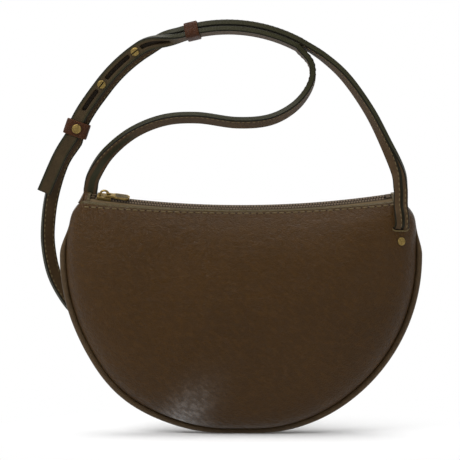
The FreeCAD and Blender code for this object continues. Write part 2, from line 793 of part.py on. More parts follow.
for name, across in (("left", "-Sizes.bridge_bend"), ("right", "Sizes.bridge_bend")):
    leg = doc.addObject("Part::Cylinder", "slider_leg_" + name)
    leg.setExpression("Radius", "Sizes.bridge_wire / 2")
    leg.setExpression("Height", "Sizes.pull_thickness / 2 + 0.5")
    leg.setExpression("Placement.Base.x", across)
    leg.setExpression("Placement.Base.z", half_chain + " + Sizes.slider_plate - 0.2")
    pieces.append(leg)
slider = joined("zip_slider", pieces)
slider.Placement = zip_placement(slider_rest)

# Pull: a tab with a slot round the bridge and a slim neck

pull_body = doc.addObject("PartDesign::Body", "zip_pull")
pull_body.Label = "zip_pull"
half_pull = "Sizes.pull_width / 2"
near_end = "Sizes.bridge_bend - Sizes.bridge_wire / 2 - 1.5"
outline = profile(pull_body, "pull_outline", "XY_Plane", [
    (near_end, "-2.6"),
    ("Sizes.bridge_bend + 3.4", "-2.6"),
    ("Sizes.bridge_bend + 5.6", "-" + half_pull),
    ("Sizes.pull_length - 2", "-" + half_pull),
    ("Sizes.pull_length", "-" + half_pull + " + 2"),
    ("Sizes.pull_length", half_pull + " - 2"),
    ("Sizes.pull_length - 2", half_pull),
    ("Sizes.bridge_bend + 5.6", half_pull),
    ("Sizes.bridge_bend + 3.4", "2.6"),
    (near_end, "2.6"),
])
pull_pad = pull_body.newObject("PartDesign::Pad", "pull_pad")
pull_pad.Profile = outline
pull_pad.setExpression("Length", "Sizes.pull_thickness")
doc.recompute()
ring = profile(pull_body, "pull_slot_outline", "XY_Plane", [
    ("Sizes.bridge_bend - Sizes.bridge_wire / 2 - 0.4", "-1.4"),
    ("Sizes.bridge_bend + Sizes.bridge_wire / 2 + 0.4", "-1.4"),
    ("Sizes.bridge_bend + Sizes.bridge_wire / 2 + 0.4", "1.4"),
    ("Sizes.bridge_bend - Sizes.bridge_wire / 2 - 0.4", "1.4"),
])
pull_slot = pull_body.newObject("PartDesign::Pocket", "pull_slot")
pull_slot.Profile = ring
pull_slot.setExpression("Length", "Sizes.pull_thickness + 1")
pull_slot.Reversed = True
doc.recompute()
solid_volume = pull_pad.Shape.Volume
if pull_slot.Shape.Volume > solid_volume - 5:
    raise RuntimeError("the pull's slot was not cut")
PIECES.append(pull_body)
pull_level = number(sheet, bridge_level) - size("pull_thickness") / 2
pull_body.Placement = zip_placement(slider_rest).multiply(
    FreeCAD.Placement(Vector(0, 0, pull_level), FreeCAD.Rotation()))

# Strap roots and their rivets

for side, label in ((-1, "front"), (1, "rear")):
    feature(label + "_strap_root", root_solids[side])
    point, normal = anchor_frame(side)
    depth = leather + size("root_thickness") + 0.6
    head = "Sizes.anchor_rivet_head / 2"
    post = "Sizes.rivet_post / 2"
    rivet = turned(label + "_anchor_rivet", [
        ("0", "%.3f" % -(depth + 0.5)),
        (post, "%.3f" % -(depth + 0.5)),
        (post, "0.05"),
        (head, "0.05"),
        (head, "0.5"),
        (head + " - 0.5", "1.0"),
        (head + " * 0.62", "1.15"),
        (head + " * 0.5", "0.85"),
        ("0", "0.95"),
    ])
    rivet.Placement = placed(point, SIDEWAYS, normal)
    cap = turned(label + "_rivet_cap", [
        (post + " + 0.02", "-0.05"),
        (head, "-0.05"),
        (head, "-0.5"),
        (head + " - 0.6", "-1.1"),
        ("0", "-1.1"),
        ("0", "-0.52"),
        (post + " + 0.02", "-0.52"),
    ])
    cap.Placement = placed(point - normal * depth, SIDEWAYS, normal)

# Straps

front_solid = strand(front_rise, -1, None)
rear_solid = strand(rear_rise, 1, short_tail)
post_hole = size("post_diameter") + 0.2
for angle in (UPPER_SCREW_ANGLE, LOWER_SCREW_ANGLE):
    centre, width, depth = strand_frame(angle, 1)
    bore = hole(centre, depth, post_hole, 12)
    rear_solid = rear_solid.cut(bore)
    front_solid = front_solid.cut(bore)
rivet_centre, rivet_width, rivet_depth = pair_frame(RIVETED_KEEPER_ANGLE)
rivet_bore = hole(rivet_centre, rivet_depth, rivet_hole, 12)
rear_solid = rear_solid.cut(rivet_bore)
front_solid = front_solid.cut(rivet_bore)

# Adjuster slots along the middle of the rear strap
for first, last in ((113.5, 122), (129, 139), (146, 151.5)):
    start, width, depth = strand_frame(first, 1)
    end = strand_frame(last, 1)[0]
    middle, width, depth = strand_frame((first + last) / 2, 1)
    run = end - start
    bar = Part.makeBox(run.Length, 2.6, 8, Vector(-run.Length / 2, -1.3, -4))
    bar.Placement = placed(middle, run, depth)
    tool = bar.fuse(hole(start, depth, 2.6, 4)).fuse(hole(end, depth, 2.6, 4))
    rear_solid = rear_solid.cut(tool)
feature("front_strap", front_solid)
feature("rear_strap", rear_solid)

tail_frames = route_frames(long_tail, 4)
tail_frames[0] = (tail_pivot, tail_width, tail_depth)
feature("hanging_strap_tail", ribbon(tail_frames, strap_width, thick(tail_frames)).fuse(
    knuckle(tail_pivot, tail_width)))

# Adjuster screws and their posts, through both straps

stack = 2 * strap_thickness + size("strap_gap")
head = "Sizes.screw_head / 2"
for label, angle in (("upper", UPPER_SCREW_ANGLE), ("lower", LOWER_SCREW_ANGLE)):
    centre, width, depth = strand_frame(angle, 1)
    face = centre + depth * (strap_thickness / 2)
    shank = "Sizes.screw_shank / 2"
    screw = turned(label + "_adjuster_screw", [
        ("0", "-5"),
        (shank, "-5"),
        (shank, "0.2"),
        (head, "0.2"),
        (head, "Sizes.screw_head_height - 0.4"),
        (head + " - 0.4", "Sizes.screw_head_height"),
        ("0", "Sizes.screw_head_height"),
    ])
    doc.recompute()
    before = screw.Shape.Volume
    slot_outline = profile(screw, label + "_slot_outline", "XZ_Plane", [
        ("-Sizes.screw_slot / 2", "Sizes.screw_head_height - 0.6"),
        ("Sizes.screw_slot / 2", "Sizes.screw_head_height - 0.6"),
        ("Sizes.screw_slot / 2", "Sizes.screw_head_height + 1"),
        ("-Sizes.screw_slot / 2", "Sizes.screw_head_height + 1"),
    ])
    slot = screw.newObject("PartDesign::Pocket", label + "_slot")
    slot.Profile = slot_outline
    slot.setExpression("Length", "Sizes.screw_head + 2")
    slot.Midplane = True
    doc.recompute()
    if screw.Shape.Volume > before - 1:
        raise RuntimeError("the screw's slot was not cut")
    screw.Placement = placed(face, width, depth)
    bore = "Sizes.post_bore / 2"
    barrel = "Sizes.post_diameter / 2"
    post = turned(label + "_screw_post", [
        (bore, "0"),
        (barrel, "0"),
        (barrel, "%.3f" % -(stack + 0.05)),
        (head, "%.3f" % -(stack + 0.05)),
        (head, "%.3f" % -(stack + 0.8)),
        (head + " - 0.4", "%.3f" % -(stack + 1.2)),
        ("0", "%.3f" % -(stack + 1.2)),
        ("0", "-5.4"),
        (bore, "-5.4"),
    ])
    post.Placement = placed(face, width, depth)

# Keepers: leather loops round both straps

play = "2 * Sizes.keeper_play"
wall = "2 * Sizes.keeper_wall"
pair_height = "(2 * Sizes.strap_thickness + Sizes.strap_gap + %s)" % play


def keeper(label, length, hole_width, hole_height):
    """Leather loop with a rectangular hole, centred on the doubled strap."""
    outer = block(label + "_outside", (length, "%s + %s" % (hole_width, wall), "%s + %s" % (hole_height, wall)),
                  ("-%s / 2" % length, "-(%s + %s) / 2" % (hole_width, wall),
                   "-(%s + %s) / 2" % (hole_height, wall)))
    inner = block(label + "_hole", (length + " + 2", hole_width, hole_height),
                  ("-%s / 2 - 1" % length, "-%s / 2" % hole_width, "-%s / 2" % hole_height))
    return carved(label, outer, [inner])


sliding = keeper("sliding_keeper", "Sizes.keeper_length", "(Sizes.strap_width + %s)" % play, pair_height)
centre, width, depth = pair_frame(KEEPER_ANGLE)
sliding.Placement = placed(centre, width.cross(depth), depth)

outer = block("riveted_outside", ("Sizes.riveted_keeper_length",
              "Sizes.strap_width + 4.6 + %s + %s" % (play, wall), "%s + %s" % (pair_height, wall)),
              ("-Sizes.riveted_keeper_length / 2", "-(Sizes.strap_width + 4.6 + %s + %s) / 2" % (play, wall),
               "-(%s + %s) / 2" % (pair_height, wall)))
inner = block("riveted_hole", ("Sizes.riveted_keeper_length + 2", "Sizes.strap_width + 4.6 + " + play, pair_height),
              ("-Sizes.riveted_keeper_length / 2 - 1", "-(Sizes.strap_width + 4.6 + %s) / 2" % play,
               "-%s / 2" % pair_height))
bore = doc.addObject("Part::Cylinder", "riveted_bore")
bore.setExpression("Radius", "Sizes.rivet_post / 2 + 0.1")
bore.Height = 60
bore.Placement.Base = Vector(0, 0, -30)
riveted = carved("riveted_keeper", outer, [inner, bore])
riveted.Placement = placed(rivet_centre, rivet_width.cross(rivet_depth), rivet_depth)

half_stack = number(sheet, pair_height) / 2 + size("keeper_wall")
head = "Sizes.keeper_rivet_head / 2"
post = "Sizes.rivet_post / 2"
rivet = turned("keeper_rivet", [
    ("0", "%.3f" % -(2 * half_stack + 0.5)),
    (post, "%.3f" % -(2 * half_stack + 0.5)),
    (post, "0.05"),
    (head, "0.05"),
    (head, "0.5"),
    (head + " * 0.72", "1.5"),
    (head + " * 0.36", "1.95"),
    ("0", "2.1"),
])
rivet.Placement = placed(rivet_centre + rivet_depth * half_stack, rivet_width, rivet_depth)
cap = turned("keeper_rivet_cap", [
    (post + " + 0.02", "-0.05"),
    (head, "-0.05"),
    (head, "-0.5"),
    (head + " - 0.7", "-1.2"),
    ("0", "-1.2"),
    ("0", "-0.52"),
    (post + " + 0.02", "-0.52"),
])
cap.Placement = placed(rivet_centre - rivet_depth * half_stack, rivet_width, rivet_depth)

doc.recompute()
for thing in doc.Objects:
    if "Invalid" in thing.State or "Error" in thing.State:
        raise RuntimeError("%s did not build" % thing.Label)
for piece in PIECES:
    if not piece.Shape.Solids or not piece.Shape.isValid():
        raise RuntimeError("%s has no valid shape" % piece.Label)
    piece.Shape.exportStep("parts/%s.step" % piece.Label)
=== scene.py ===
import math

import bpy
import numpy as np
from bpy.props import FloatProperty, FloatVectorProperty, PointerProperty
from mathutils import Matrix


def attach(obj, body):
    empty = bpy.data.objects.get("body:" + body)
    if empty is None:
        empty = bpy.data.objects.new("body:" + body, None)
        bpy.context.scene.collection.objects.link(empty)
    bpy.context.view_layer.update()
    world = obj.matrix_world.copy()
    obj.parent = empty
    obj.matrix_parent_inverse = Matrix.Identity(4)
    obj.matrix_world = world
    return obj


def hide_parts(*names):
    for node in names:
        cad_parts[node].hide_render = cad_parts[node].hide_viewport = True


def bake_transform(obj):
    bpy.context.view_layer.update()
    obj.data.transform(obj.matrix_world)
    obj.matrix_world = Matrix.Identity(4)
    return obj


bl_info = {
    "name": "Half Moon Bag",
    "version": (1, 0, 0),
    "blender": (4, 5, 0),
    "location": "3D View > Sidebar > Bag",
    "description": "Builds a leather half moon bag with its strap, zip and brass fittings",
    "category": "Add Mesh",
}

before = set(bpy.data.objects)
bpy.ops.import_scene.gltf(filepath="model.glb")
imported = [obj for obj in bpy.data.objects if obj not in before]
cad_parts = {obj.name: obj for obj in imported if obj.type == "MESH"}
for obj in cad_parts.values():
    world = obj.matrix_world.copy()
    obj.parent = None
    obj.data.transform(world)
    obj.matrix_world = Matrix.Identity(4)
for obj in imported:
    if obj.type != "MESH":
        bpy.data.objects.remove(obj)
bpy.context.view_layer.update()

# Sizes in millimetres and the strap's angles in degrees
# +Z is up, -Y is towards the viewer, the floor is at z = 0 and the origin under the middle

MM = 0.001
PIPING = 5.0
OUTER_BEND = 136.0
BASE_PRESS = 0.3
BASE_DROP = 3.0
BASE_HALF = 10.0
SEAM_BEND = OUTER_BEND - PIPING
CENTRE_HEIGHT = OUTER_BEND - BASE_DROP - BASE_PRESS
BASE_BEND = (2 * OUTER_BEND * BASE_DROP - BASE_DROP ** 2 - BASE_HALF ** 2) / (2 * BASE_DROP)
BASE_SEAM_BEND = BASE_BEND - PIPING
CORNER_BEND = 22.0
HALF_DEPTH = 32.0
END_DEPTH = 8.0
OVERHANG = 0.4
BASE_SAG = 0.016
SIDE_SAG = 0.004
SEAM_GAP = 1.0
SEAM_END_DROP = 5.8
SEAM_END_OUT = 3.2
LEATHER = 1.8

ZIP_BEND = 750.0
ZIP_RISE = 36.5
ZIP_CENTRE = CENTRE_HEIGHT + ZIP_RISE + ZIP_BEND
ZIP_HALF = math.sqrt(SEAM_BEND ** 2 - (ZIP_RISE + 9) ** 2) - 5.5
ZIP_END = math.asin(ZIP_HALF / ZIP_BEND)
ZIP_TILT = math.radians(25)
SLIDER_REST = -ZIP_HALF + 14.6
PULL_TOP = 4.3
TAPE_REACH = 4.8
TAPE_THICKNESS = 0.8
TAPE_HEM = 6.5
TOOTH_PITCH = 2.1
RIM_WIDTH = 2.1
RIM_GROWTH = 1.5
# By side, -1 front and 1 rear: a panel's fall at the mouth, then its edge's run in the middle and its growth
FALLS = {-1: math.radians(50), 1: math.radians(45)}
MOUTH_RUNS = {-1: (0.7, 3.2), 1: (4.2, 1.2)}

STRAP_WIDTH = 10.5
STRAP_THICKNESS = 4.4
STRAP_GAP = 0.3
ROOT_THICKNESS = 2.2
LOOP_BEND = 115.2
LOOP_ACROSS = -10.66
ANCHOR_DROP = 29.0
PAIR_START = 62.0
PAIR_END = 164.0
PAIR_TURN = (107.0, 123.0)
TURN_SWELL = 2.4
END_SWELL = 3.0
TURN_SHIFT = 1.9
PAIR_LEAN = 14.0
TURN_TWIST = 68.0
SPLIT_ANGLE = 161.0
RIVET_DROP = 9.0
KEEPER_ANGLE = 103.0
RIVETED_KEEPER_ANGLE = 161.0
SLOT_ANGLES = ((112.0, 123.0), (128.0, 140.0), (145.0, 154.0))
SCREW_ANGLES = {"upper": 125.5, "lower": 142.5}


def ease(value, low, high):
    """0 below low, 1 above high, and 3t^2 - 2t^3 of the share t in between."""
    t = np.clip((np.asarray(value, float) - low) / (high - low), 0, 1)
    return t * t * (3 - 2 * t)


def unit(vectors):
    """Vectors divided by their own lengths."""
    return vectors / np.linalg.norm(vectors, axis=-1, keepdims=True)


def vec(*numbers):
    """Numbers or arrays as points whose last axis is x, y, z."""
    return np.stack(np.broadcast_arrays(*[np.asarray(n, float) for n in numbers]), axis=-1)


def bell(value, middle, spread):
    """1 at the middle, falling as e to minus the square of the distance over the spread."""
    return np.exp(-((value - middle) / spread) ** 2)


def circle(count):
    """Evenly spaced angles, once round."""
    return np.linspace(0, 2 * math.pi, count, endpoint=False)


def ring_of(count, first, second):
    """Directions once round: cosines times the first directions plus sines times the second ones."""
    angle = circle(count)[:, None]
    return np.cos(angle) * first[..., None, :] + np.sin(angle) * second[..., None, :]


def boxed(values, power):
    """Values brought towards -1 and 1: their sizes raised to a power, with their signs kept."""
    return np.sign(values) * np.abs(values) ** power


# The bag's outline and panels

def zip_point(angle, across, up):
    """Point on a circle of the zip's bend, less up, about its far centre, moved across to the rear."""
    reach = ZIP_BEND - up
    return vec(reach * np.sin(angle), across, ZIP_CENTRE - reach * np.cos(angle))


SEAM_END = zip_point(ZIP_END, 0, -SEAM_END_DROP) + vec(SEAM_END_OUT, 0, 0)


def corner_bend_place():
    """Angle and centre of the corner's arc, which touches the large seam circle from inside."""
    reach = math.hypot(SEAM_END[0], SEAM_END[2] - CENTRE_HEIGHT)
    inner = SEAM_BEND - CORNER_BEND
    spread = math.acos((reach ** 2 + inner ** 2 - CORNER_BEND ** 2) / (2 * reach * inner))
    angle = math.atan2(SEAM_END[2] - CENTRE_HEIGHT, SEAM_END[0]) - spread
    return angle, inner * math.cos(angle), CENTRE_HEIGHT + inner * math.sin(angle)


CORNER_ANGLE, CORNER_X, CORNER_Z = corner_bend_place()
CORNER_END_ANGLE = math.atan2(SEAM_END[2] - CORNER_Z, SEAM_END[0] - CORNER_X)
BASE_Z = BASE_BEND - BASE_PRESS
BASE_ANGLE = math.atan2(BASE_Z - CENTRE_HEIGHT, BASE_HALF)
SEAM_RUNS = np.cumsum([
    BASE_HALF,
    BASE_SEAM_BEND * (BASE_ANGLE + math.pi / 2),
    SEAM_BEND * (CORNER_ANGLE - BASE_ANGLE),
    CORNER_BEND * (CORNER_END_ANGLE - CORNER_ANGLE),
])


# Where the seam is fuller than its arcs: by how much, at which part of it, over which spread
SWELLS = ((2.9, -0.38, 0.14), (2.4, 0.94, 0.05))


def seam_point(part, out=0.0):
    """Seam moved out: a straight base, arcs of the base, the large circle and the corner, and the swells."""
    part = np.asarray(part, float)
    for swell, middle, spread in SWELLS:
        out = out + swell * bell(part, middle, spread)
    way = np.abs(part) * SEAM_RUNS[3]
    base = (way - SEAM_RUNS[0]) / BASE_SEAM_BEND - math.pi / 2
    side = (way - SEAM_RUNS[1]) / SEAM_BEND + BASE_ANGLE
    corner = (way - SEAM_RUNS[2]) / CORNER_BEND + CORNER_ANGLE
    tests = [way <= SEAM_RUNS[0], way <= SEAM_RUNS[1], way <= SEAM_RUNS[2]]
    x = np.select(tests, [
        way,
        BASE_HALF + (BASE_SEAM_BEND + out) * np.cos(base),
        (SEAM_BEND + out) * np.cos(side),
    ], CORNER_X + (CORNER_BEND + out) * np.cos(corner))
    z = np.select(tests, [
        BASE_Z - BASE_SEAM_BEND - out + 0 * way,
        BASE_Z + (BASE_SEAM_BEND + out) * np.sin(base),
        CENTRE_HEIGHT + (SEAM_BEND + out) * np.sin(side),
    ], CORNER_Z + (CORNER_BEND + out) * np.sin(corner))
    return vec(np.where(part < 0, -x, x), 0, z)


def mouth_edge(side, part):
    """Edge of a panel: it lies over the tape, a run and a leather's thickness beyond the tape's fold."""
    fall = FALLS[side]
    run = MOUTH_RUNS[side][0] + MOUTH_RUNS[side][1] * part * part
    lift = TAPE_THICKNESS / 2 + 0.2 + LEATHER
    across = TAPE_REACH * math.cos(ZIP_TILT) + run * math.cos(fall) + lift * math.sin(fall)
    up = side * TAPE_REACH * math.sin(ZIP_TILT) - run * math.sin(fall) + lift * math.cos(fall)
    return zip_point(part * ZIP_END, side * across, up)


def rim_width(part):
    """Width of the pressed rim along a mouth edge, which grows towards the left end."""
    return RIM_WIDTH + RIM_GROWTH * ease(-np.asarray(part, float), 0.2, 1.0)


def pulled(values, way):
    """Bezier curve of degree five: the values weighted by the binomial terms of way and 1 - way."""
    total = 0
    for index, value in enumerate(values):
        total = total + math.comb(5, index) * way ** index * (1 - way) ** (5 - index) * value
    return total


def panel_point(side, part, way):
    """Panel: straight rays from the mouth to the seam, bulged out by two Bezier curves."""
    part = np.asarray(part, float)
    way = np.asarray(way, float)
    mouth = mouth_edge(side, part)
    seam = seam_point(part)
    length = np.linalg.norm(seam - mouth, axis=-1)
    belly = END_DEPTH + (HALF_DEPTH - END_DEPTH) * (1 - np.abs(part) ** 2.5) ** 1.1
    start = np.abs(mouth[..., 1])
    overhang = OVERHANG * np.minimum(1, length / 40)
    sag = BASE_SAG - (BASE_SAG - SIDE_SAG) * ease(np.abs(part), 0.05, 0.35)
    along = pulled([0, 0.1, 0.32, 0.66, 1 + (overhang / length + sag) / 0.33, 1], way)
    out = pulled([start, start + 0.1 * length / math.tan(FALLS[side]), 1.2 * belly, 1.3 * belly,
                  0.55 * belly, SEAM_GAP], way)
    x = mouth[..., 0] + along * (seam[..., 0] - mouth[..., 0])
    z = mouth[..., 2] + along * (seam[..., 2] - mouth[..., 2])
    return vec(x, side * out, z)


def panel_normal(side, part, way):
    """Direction out of a panel: the cross product of small steps along its two parameters."""
    step = 0.003
    before = panel_point(side, np.maximum(-1, part - step), way)
    after = panel_point(side, np.minimum(1, part + step), way)
    above = panel_point(side, part, np.maximum(0, way - step))
    below = panel_point(side, part, np.minimum(1, way + step))
    return unit(np.cross(below - above, after - before)) * -side


def panel_place(side, x, z):
    """Part and way of the panel's points at x, z, by repeated straight-line corrections."""
    x, z = np.broadcast_arrays(np.asarray(x, float), np.asarray(z, float))
    part = x / OUTER_BEND
    way = 0.4 + 0 * x
    step = 0.001
    pace = 0.7
    for turn in range(40):
        here = panel_point(side, part, way)
        by_part = (panel_point(side, part + step, way) - here) / step
        by_way = (panel_point(side, part, way + step) - here) / step
        miss_x = x - here[..., 0]
        miss_z = z - here[..., 2]
        spread = by_part[..., 0] * by_way[..., 2] - by_way[..., 0] * by_part[..., 2]
        part = part + pace * (miss_x * by_way[..., 2] - by_way[..., 0] * miss_z) / spread
        way = way + pace * (by_part[..., 0] * miss_z - miss_x * by_part[..., 2]) / spread
        part = np.clip(part, -0.97, 0.97)
        way = np.clip(way, 0.02, 0.98)
    return part, way


# Routes of the straps: arrays of centres, width directions and thickness directions

HINGE_X = ZIP_HALF - 0.6
HINGE_Y = 13.0
HINGE_Z = float(SEAM_END[2]) + 10
HINGE_REACH = math.hypot(HINGE_X, HINGE_Y)
HINGE_TURN = math.atan2(HINGE_Y, HINGE_X)
SIDEWAYS = vec(math.cos(HINGE_TURN), -math.sin(HINGE_TURN), 0)
BACKWARDS = vec(math.sin(HINGE_TURN), math.cos(HINGE_TURN), 0)
UP = vec(0, 0, 1)
LOOP_HEIGHT = HINGE_Z + 7
FRONT_HINGE = HINGE_REACH + 2.2
REAR_HINGE = 3.2 - HINGE_REACH
RIVET_X = {
    -1: (HINGE_REACH + 0.9) * math.cos(HINGE_TURN) + 1.6,
    1: REAR_HINGE * math.cos(HINGE_TURN) - 1.6,
}


def strap_place(across, up, back):
    """Point of the upright plane in which the strap stands."""
    upright = np.multiply.outer(across, SIDEWAYS) + np.multiply.outer(up, UP)
    return upright + np.multiply.outer(back, BACKWARDS)


def hinge_spot(side):
    """Point where the front strap (side -1) or the rear strap (side 1) bends at the bag's top."""
    return strap_place(FRONT_HINGE if side < 0 else REAR_HINGE, HINGE_Z, 0)


def smooth_rows(rows, count):
    """Rows in between on Catmull-Rom curves: four neighbours weighted by cubic terms of the share t."""
    rows = np.asarray(rows, float)
    full = np.vstack([2 * rows[0] - rows[1], rows, 2 * rows[-1] - rows[-2]])
    t = np.arange(count) / count
    weights = np.stack([
        -0.5 * t + t ** 2 - 0.5 * t ** 3,
        1 - 2.5 * t ** 2 + 1.5 * t ** 3,
        0.5 * t + 2 * t ** 2 - 1.5 * t ** 3,
        -0.5 * t ** 2 + 0.5 * t ** 3,
    ])
    groups = np.stack([full[:-3], full[1:-2], full[2:-1], full[3:]])
    inner = np.einsum("kc,krv->rcv", weights, groups).reshape(-1, rows.shape[1])
    return np.vstack([inner, rows[-1]])


def route_frames(rows, count):
    """Frames of a route of across, up, back and twist: the width turns by the twist about the run."""
    fine = smooth_rows(rows, count)
    run = unit(np.gradient(fine[:, :2], axis=0))
    right = np.multiply.outer(run[:, 1], SIDEWAYS) - np.multiply.outer(run[:, 0], UP)
    angle = np.radians(fine[:, 3])[:, None]
    width = BACKWARDS * np.cos(angle) + right * np.sin(angle)
    depth = BACKWARDS * np.sin(angle) - right * np.cos(angle)
    return np.stack([strap_place(fine[:, 0], fine[:, 1], fine[:, 2]), width, depth], axis=1)


def pair_frames(degrees):
    """Middle of the doubled strap: a circle about the loop's centre, with a turn before the screws."""
    degrees = np.asarray(degrees, float)
    angle = np.radians(degrees)
    out = np.multiply.outer(np.cos(angle), SIDEWAYS) + np.multiply.outer(np.sin(angle), UP)
    reach = LOOP_BEND + TURN_SWELL * ease(degrees, *PAIR_TURN) + END_SWELL * ease(degrees, 143, 163)
    twist = np.radians(PAIR_LEAN + TURN_TWIST * ease(degrees, PAIR_TURN[0] - 1, PAIR_TURN[1]))
    width = np.multiply.outer(np.cos(twist), BACKWARDS) - out * np.sin(twist)[..., None]
    depth = np.multiply.outer(-np.sin(twist), BACKWARDS) - out * np.cos(twist)[..., None]
    centre = strap_place(LOOP_ACROSS, LOOP_HEIGHT, 0) + out * reach[..., None]
    return np.stack([centre, width, depth], axis=-2)


def strand_frames(degrees, hand):
    """Front strap (hand -1) or rear strap (hand 1) beside the middle of the pair."""
    frames = pair_frames(degrees)
    shift = TURN_SHIFT * ease(degrees, *PAIR_TURN)[..., None]
    half = (STRAP_THICKNESS + STRAP_GAP) / 2
    frames[..., 0, :] += hand * (frames[..., 2, :] * half - frames[..., 1, :] * shift)
    return frames


def row_of(frame_of, twist):
    """Route row of one frame."""
    centre = frame_of[0]
    return [centre @ SIDEWAYS, centre[2], centre @ BACKWARDS, twist]


def loop_row(degrees, reach, back, twist):
    """Route row at an angle and reach round the loop's centre."""
    angle = math.radians(degrees)
    return [LOOP_ACROSS + reach * math.cos(angle), LOOP_HEIGHT + reach * math.sin(angle), back, twist]


FRONT_RISE = [
    [FRONT_HINGE, HINGE_Z, 0, -90],
    [FRONT_HINGE - 2.0, HINGE_Z + 14, 0, -72],
    [FRONT_HINGE - 11.4, HINGE_Z + 35.4, 0, -42],
    loop_row(26.2, LOOP_BEND + 3.6, 0, -33),
    loop_row(40.4, LOOP_BEND + 2.7, 0, -28),
    loop_row(51.5, LOOP_BEND + 2.3, 0.3, -21),
    row_of(strand_frames(PAIR_START, -1), -14),
]
REAR_RISE = [
    [REAR_HINGE, HINGE_Z, 0, 90],
    [REAR_HINGE + 2.6, HINGE_Z + 11, 0, 74],
    [REAR_HINGE + 13.2, HINGE_Z + 27.5, 0, 48],
    [-82, HINGE_Z + 43.2, 0, 36],
    [-58.5, HINGE_Z + 52.6, 0, 33],
    [-33, HINGE_Z + 54.4, 0, 33],
    [-3, HINGE_Z + 50.6, 0, 33],
    [22, HINGE_Z + 52.8, 0, 30],
    [41, HINGE_Z + 63.2, 0, 18],
    [52.3, HINGE_Z + 79, 0, 3],
    [52.8, HINGE_Z + 94, -0.3, -8],
    row_of(strand_frames(PAIR_START, 1), -14),
]
SHORT_TAIL = [
    row_of(strand_frames(PAIR_END, 1), -82),
    [-OUTER_BEND - 1.5, HINGE_Z + 25, -3.6, -80],
    [-OUTER_BEND - 13.2, HINGE_Z - 1.6, -4.6, -76],
]
TAIL_PIVOT = strand_frames(PAIR_END + 1.6, -1)
LONG_TAIL = [
    row_of(TAIL_PIVOT, -82),
    [-OUTER_BEND - 0.4, HINGE_Z + 21, 3.6, -76],
    [-OUTER_BEND - 8.2, HINGE_Z - 2, 4.4, -64],
    [-OUTER_BEND - 11.6, HINGE_Z - 24, 4.8, -54],
    [-OUTER_BEND - 11.6, HINGE_Z - 43, 5, -52],
    [-OUTER_BEND - 7.2, HINGE_Z - 64, 5.6, -52],
    [-OUTER_BEND + 2.6, HINGE_Z - 82.5, 6.8, -52],
    [-OUTER_BEND + 15, HINGE_Z - 97, 8.4, -52],
]


def root_frames(side):
    """Strap end that runs down the panel's outside and into its slot, with its thinning."""
    top = hinge_spot(side)
    slot = HINGE_Z - ANCHOR_DROP
    drops = [
        (slot - 2.0, -2.6, ROOT_THICKNESS, 1.0),
        (slot - 0.3, -1.6, ROOT_THICKNESS, 0.95),
        (slot + 3, ROOT_THICKNESS / 2 + 0.9, ROOT_THICKNESS * 1.3, 0.7),
        (slot + 9, STRAP_THICKNESS / 2 + 0.5, STRAP_THICKNESS * 0.85, 0.35),
        (slot + 18, None, STRAP_THICKNESS, 0.0),
        (HINGE_Z - 4, None, STRAP_THICKNESS, 0.0),
    ]
    rows = []
    for z, away, thickness, flat in drops:
        if away is None:
            point = vec(top[0], top[1] + side * 0.03 * (HINGE_Z - z), z)
            lean = BACKWARDS * side
        else:
            place = panel_place(side, top[0], z)
            normal = panel_normal(side, *place)
            point = panel_point(side, *place) + normal * away
            lean = BACKWARDS * (side * (1 - flat)) + normal * flat
        rows.append(np.concatenate([point, lean, [thickness]]))
    fine = smooth_rows(rows, 10)
    run = unit(np.gradient(fine[:, :3], axis=0))
    width = unit(np.cross(fine[:, 3:6], run))
    depth = np.cross(run, width)
    return np.stack([fine[:, :3], width, depth], axis=1), fine[:, 6]


# Meshes

FINISHES = {}


def add_mesh(name, points, faces, looks, smooth=True):
    """Mesh object at the origin from points in millimetres, faces of point numbers and finish names."""
    mesh = bpy.data.meshes.new(name)
    mesh.from_pydata((np.reshape(points, (-1, 3)) * MM).tolist(), [], faces)
    for look in looks:
        mesh.materials.append(FINISHES[look])
    mesh.polygons.foreach_set("use_smooth", np.full(len(mesh.polygons), smooth))
    mesh.update()
    made = bpy.data.objects.new(name, mesh)
    bpy.context.scene.collection.objects.link(made)
    return made


def paint_points(piece, name, values):
    """Values of a mesh's points, kept as an attribute that its material reads."""
    attribute = piece.data.attributes.new(name, "FLOAT", "POINT")
    attribute.data.foreach_set("value", np.asarray(values, np.float32).ravel())


def add_wall(piece, thickness):
    """Modifier that gives a sheet its thickness on the inside."""
    wall = piece.modifiers.new("wall", "SOLIDIFY")
    wall.thickness = thickness * MM
    wall.offset = -1
    return wall


def grid_faces(rows, columns, round_columns=False):
    """Quads of a grid of points, closed round its columns if asked."""
    row = np.arange(rows - 1)[:, None]
    column = np.arange(columns if round_columns else columns - 1)[None, :]
    after = (column + 1) % columns
    quads = np.stack([row * columns + column, (row + 1) * columns + column,
                      (row + 1) * columns + after, row * columns + after], axis=-1)
    return quads.reshape(-1, 4)


def tube_faces(rings):
    """Faces of a tube of rings with its two ends filled."""
    count, around = rings.shape[:2]
    faces = grid_faces(count, around, True).tolist()
    faces.append(list(range(around)))
    faces.append(list(range((count - 1) * around, count * around))[::-1])
    return faces


def tube_mesh(name, rings, look, smooth=True):
    """Mesh of a closed tube in one finish."""
    return add_mesh(name, rings, tube_faces(rings), [look], smooth)


def turned(name, seat, outline):
    """Brass piece: an outline of radius and height turned about a seat's third direction."""
    outline = np.asarray(outline, float)[:, None]
    place, across, out = seat
    ring = ring_of(48, across, np.cross(across, out))
    return tube_mesh(name, place + outline[..., :1] * ring + outline[..., 1:] * out, "brass")


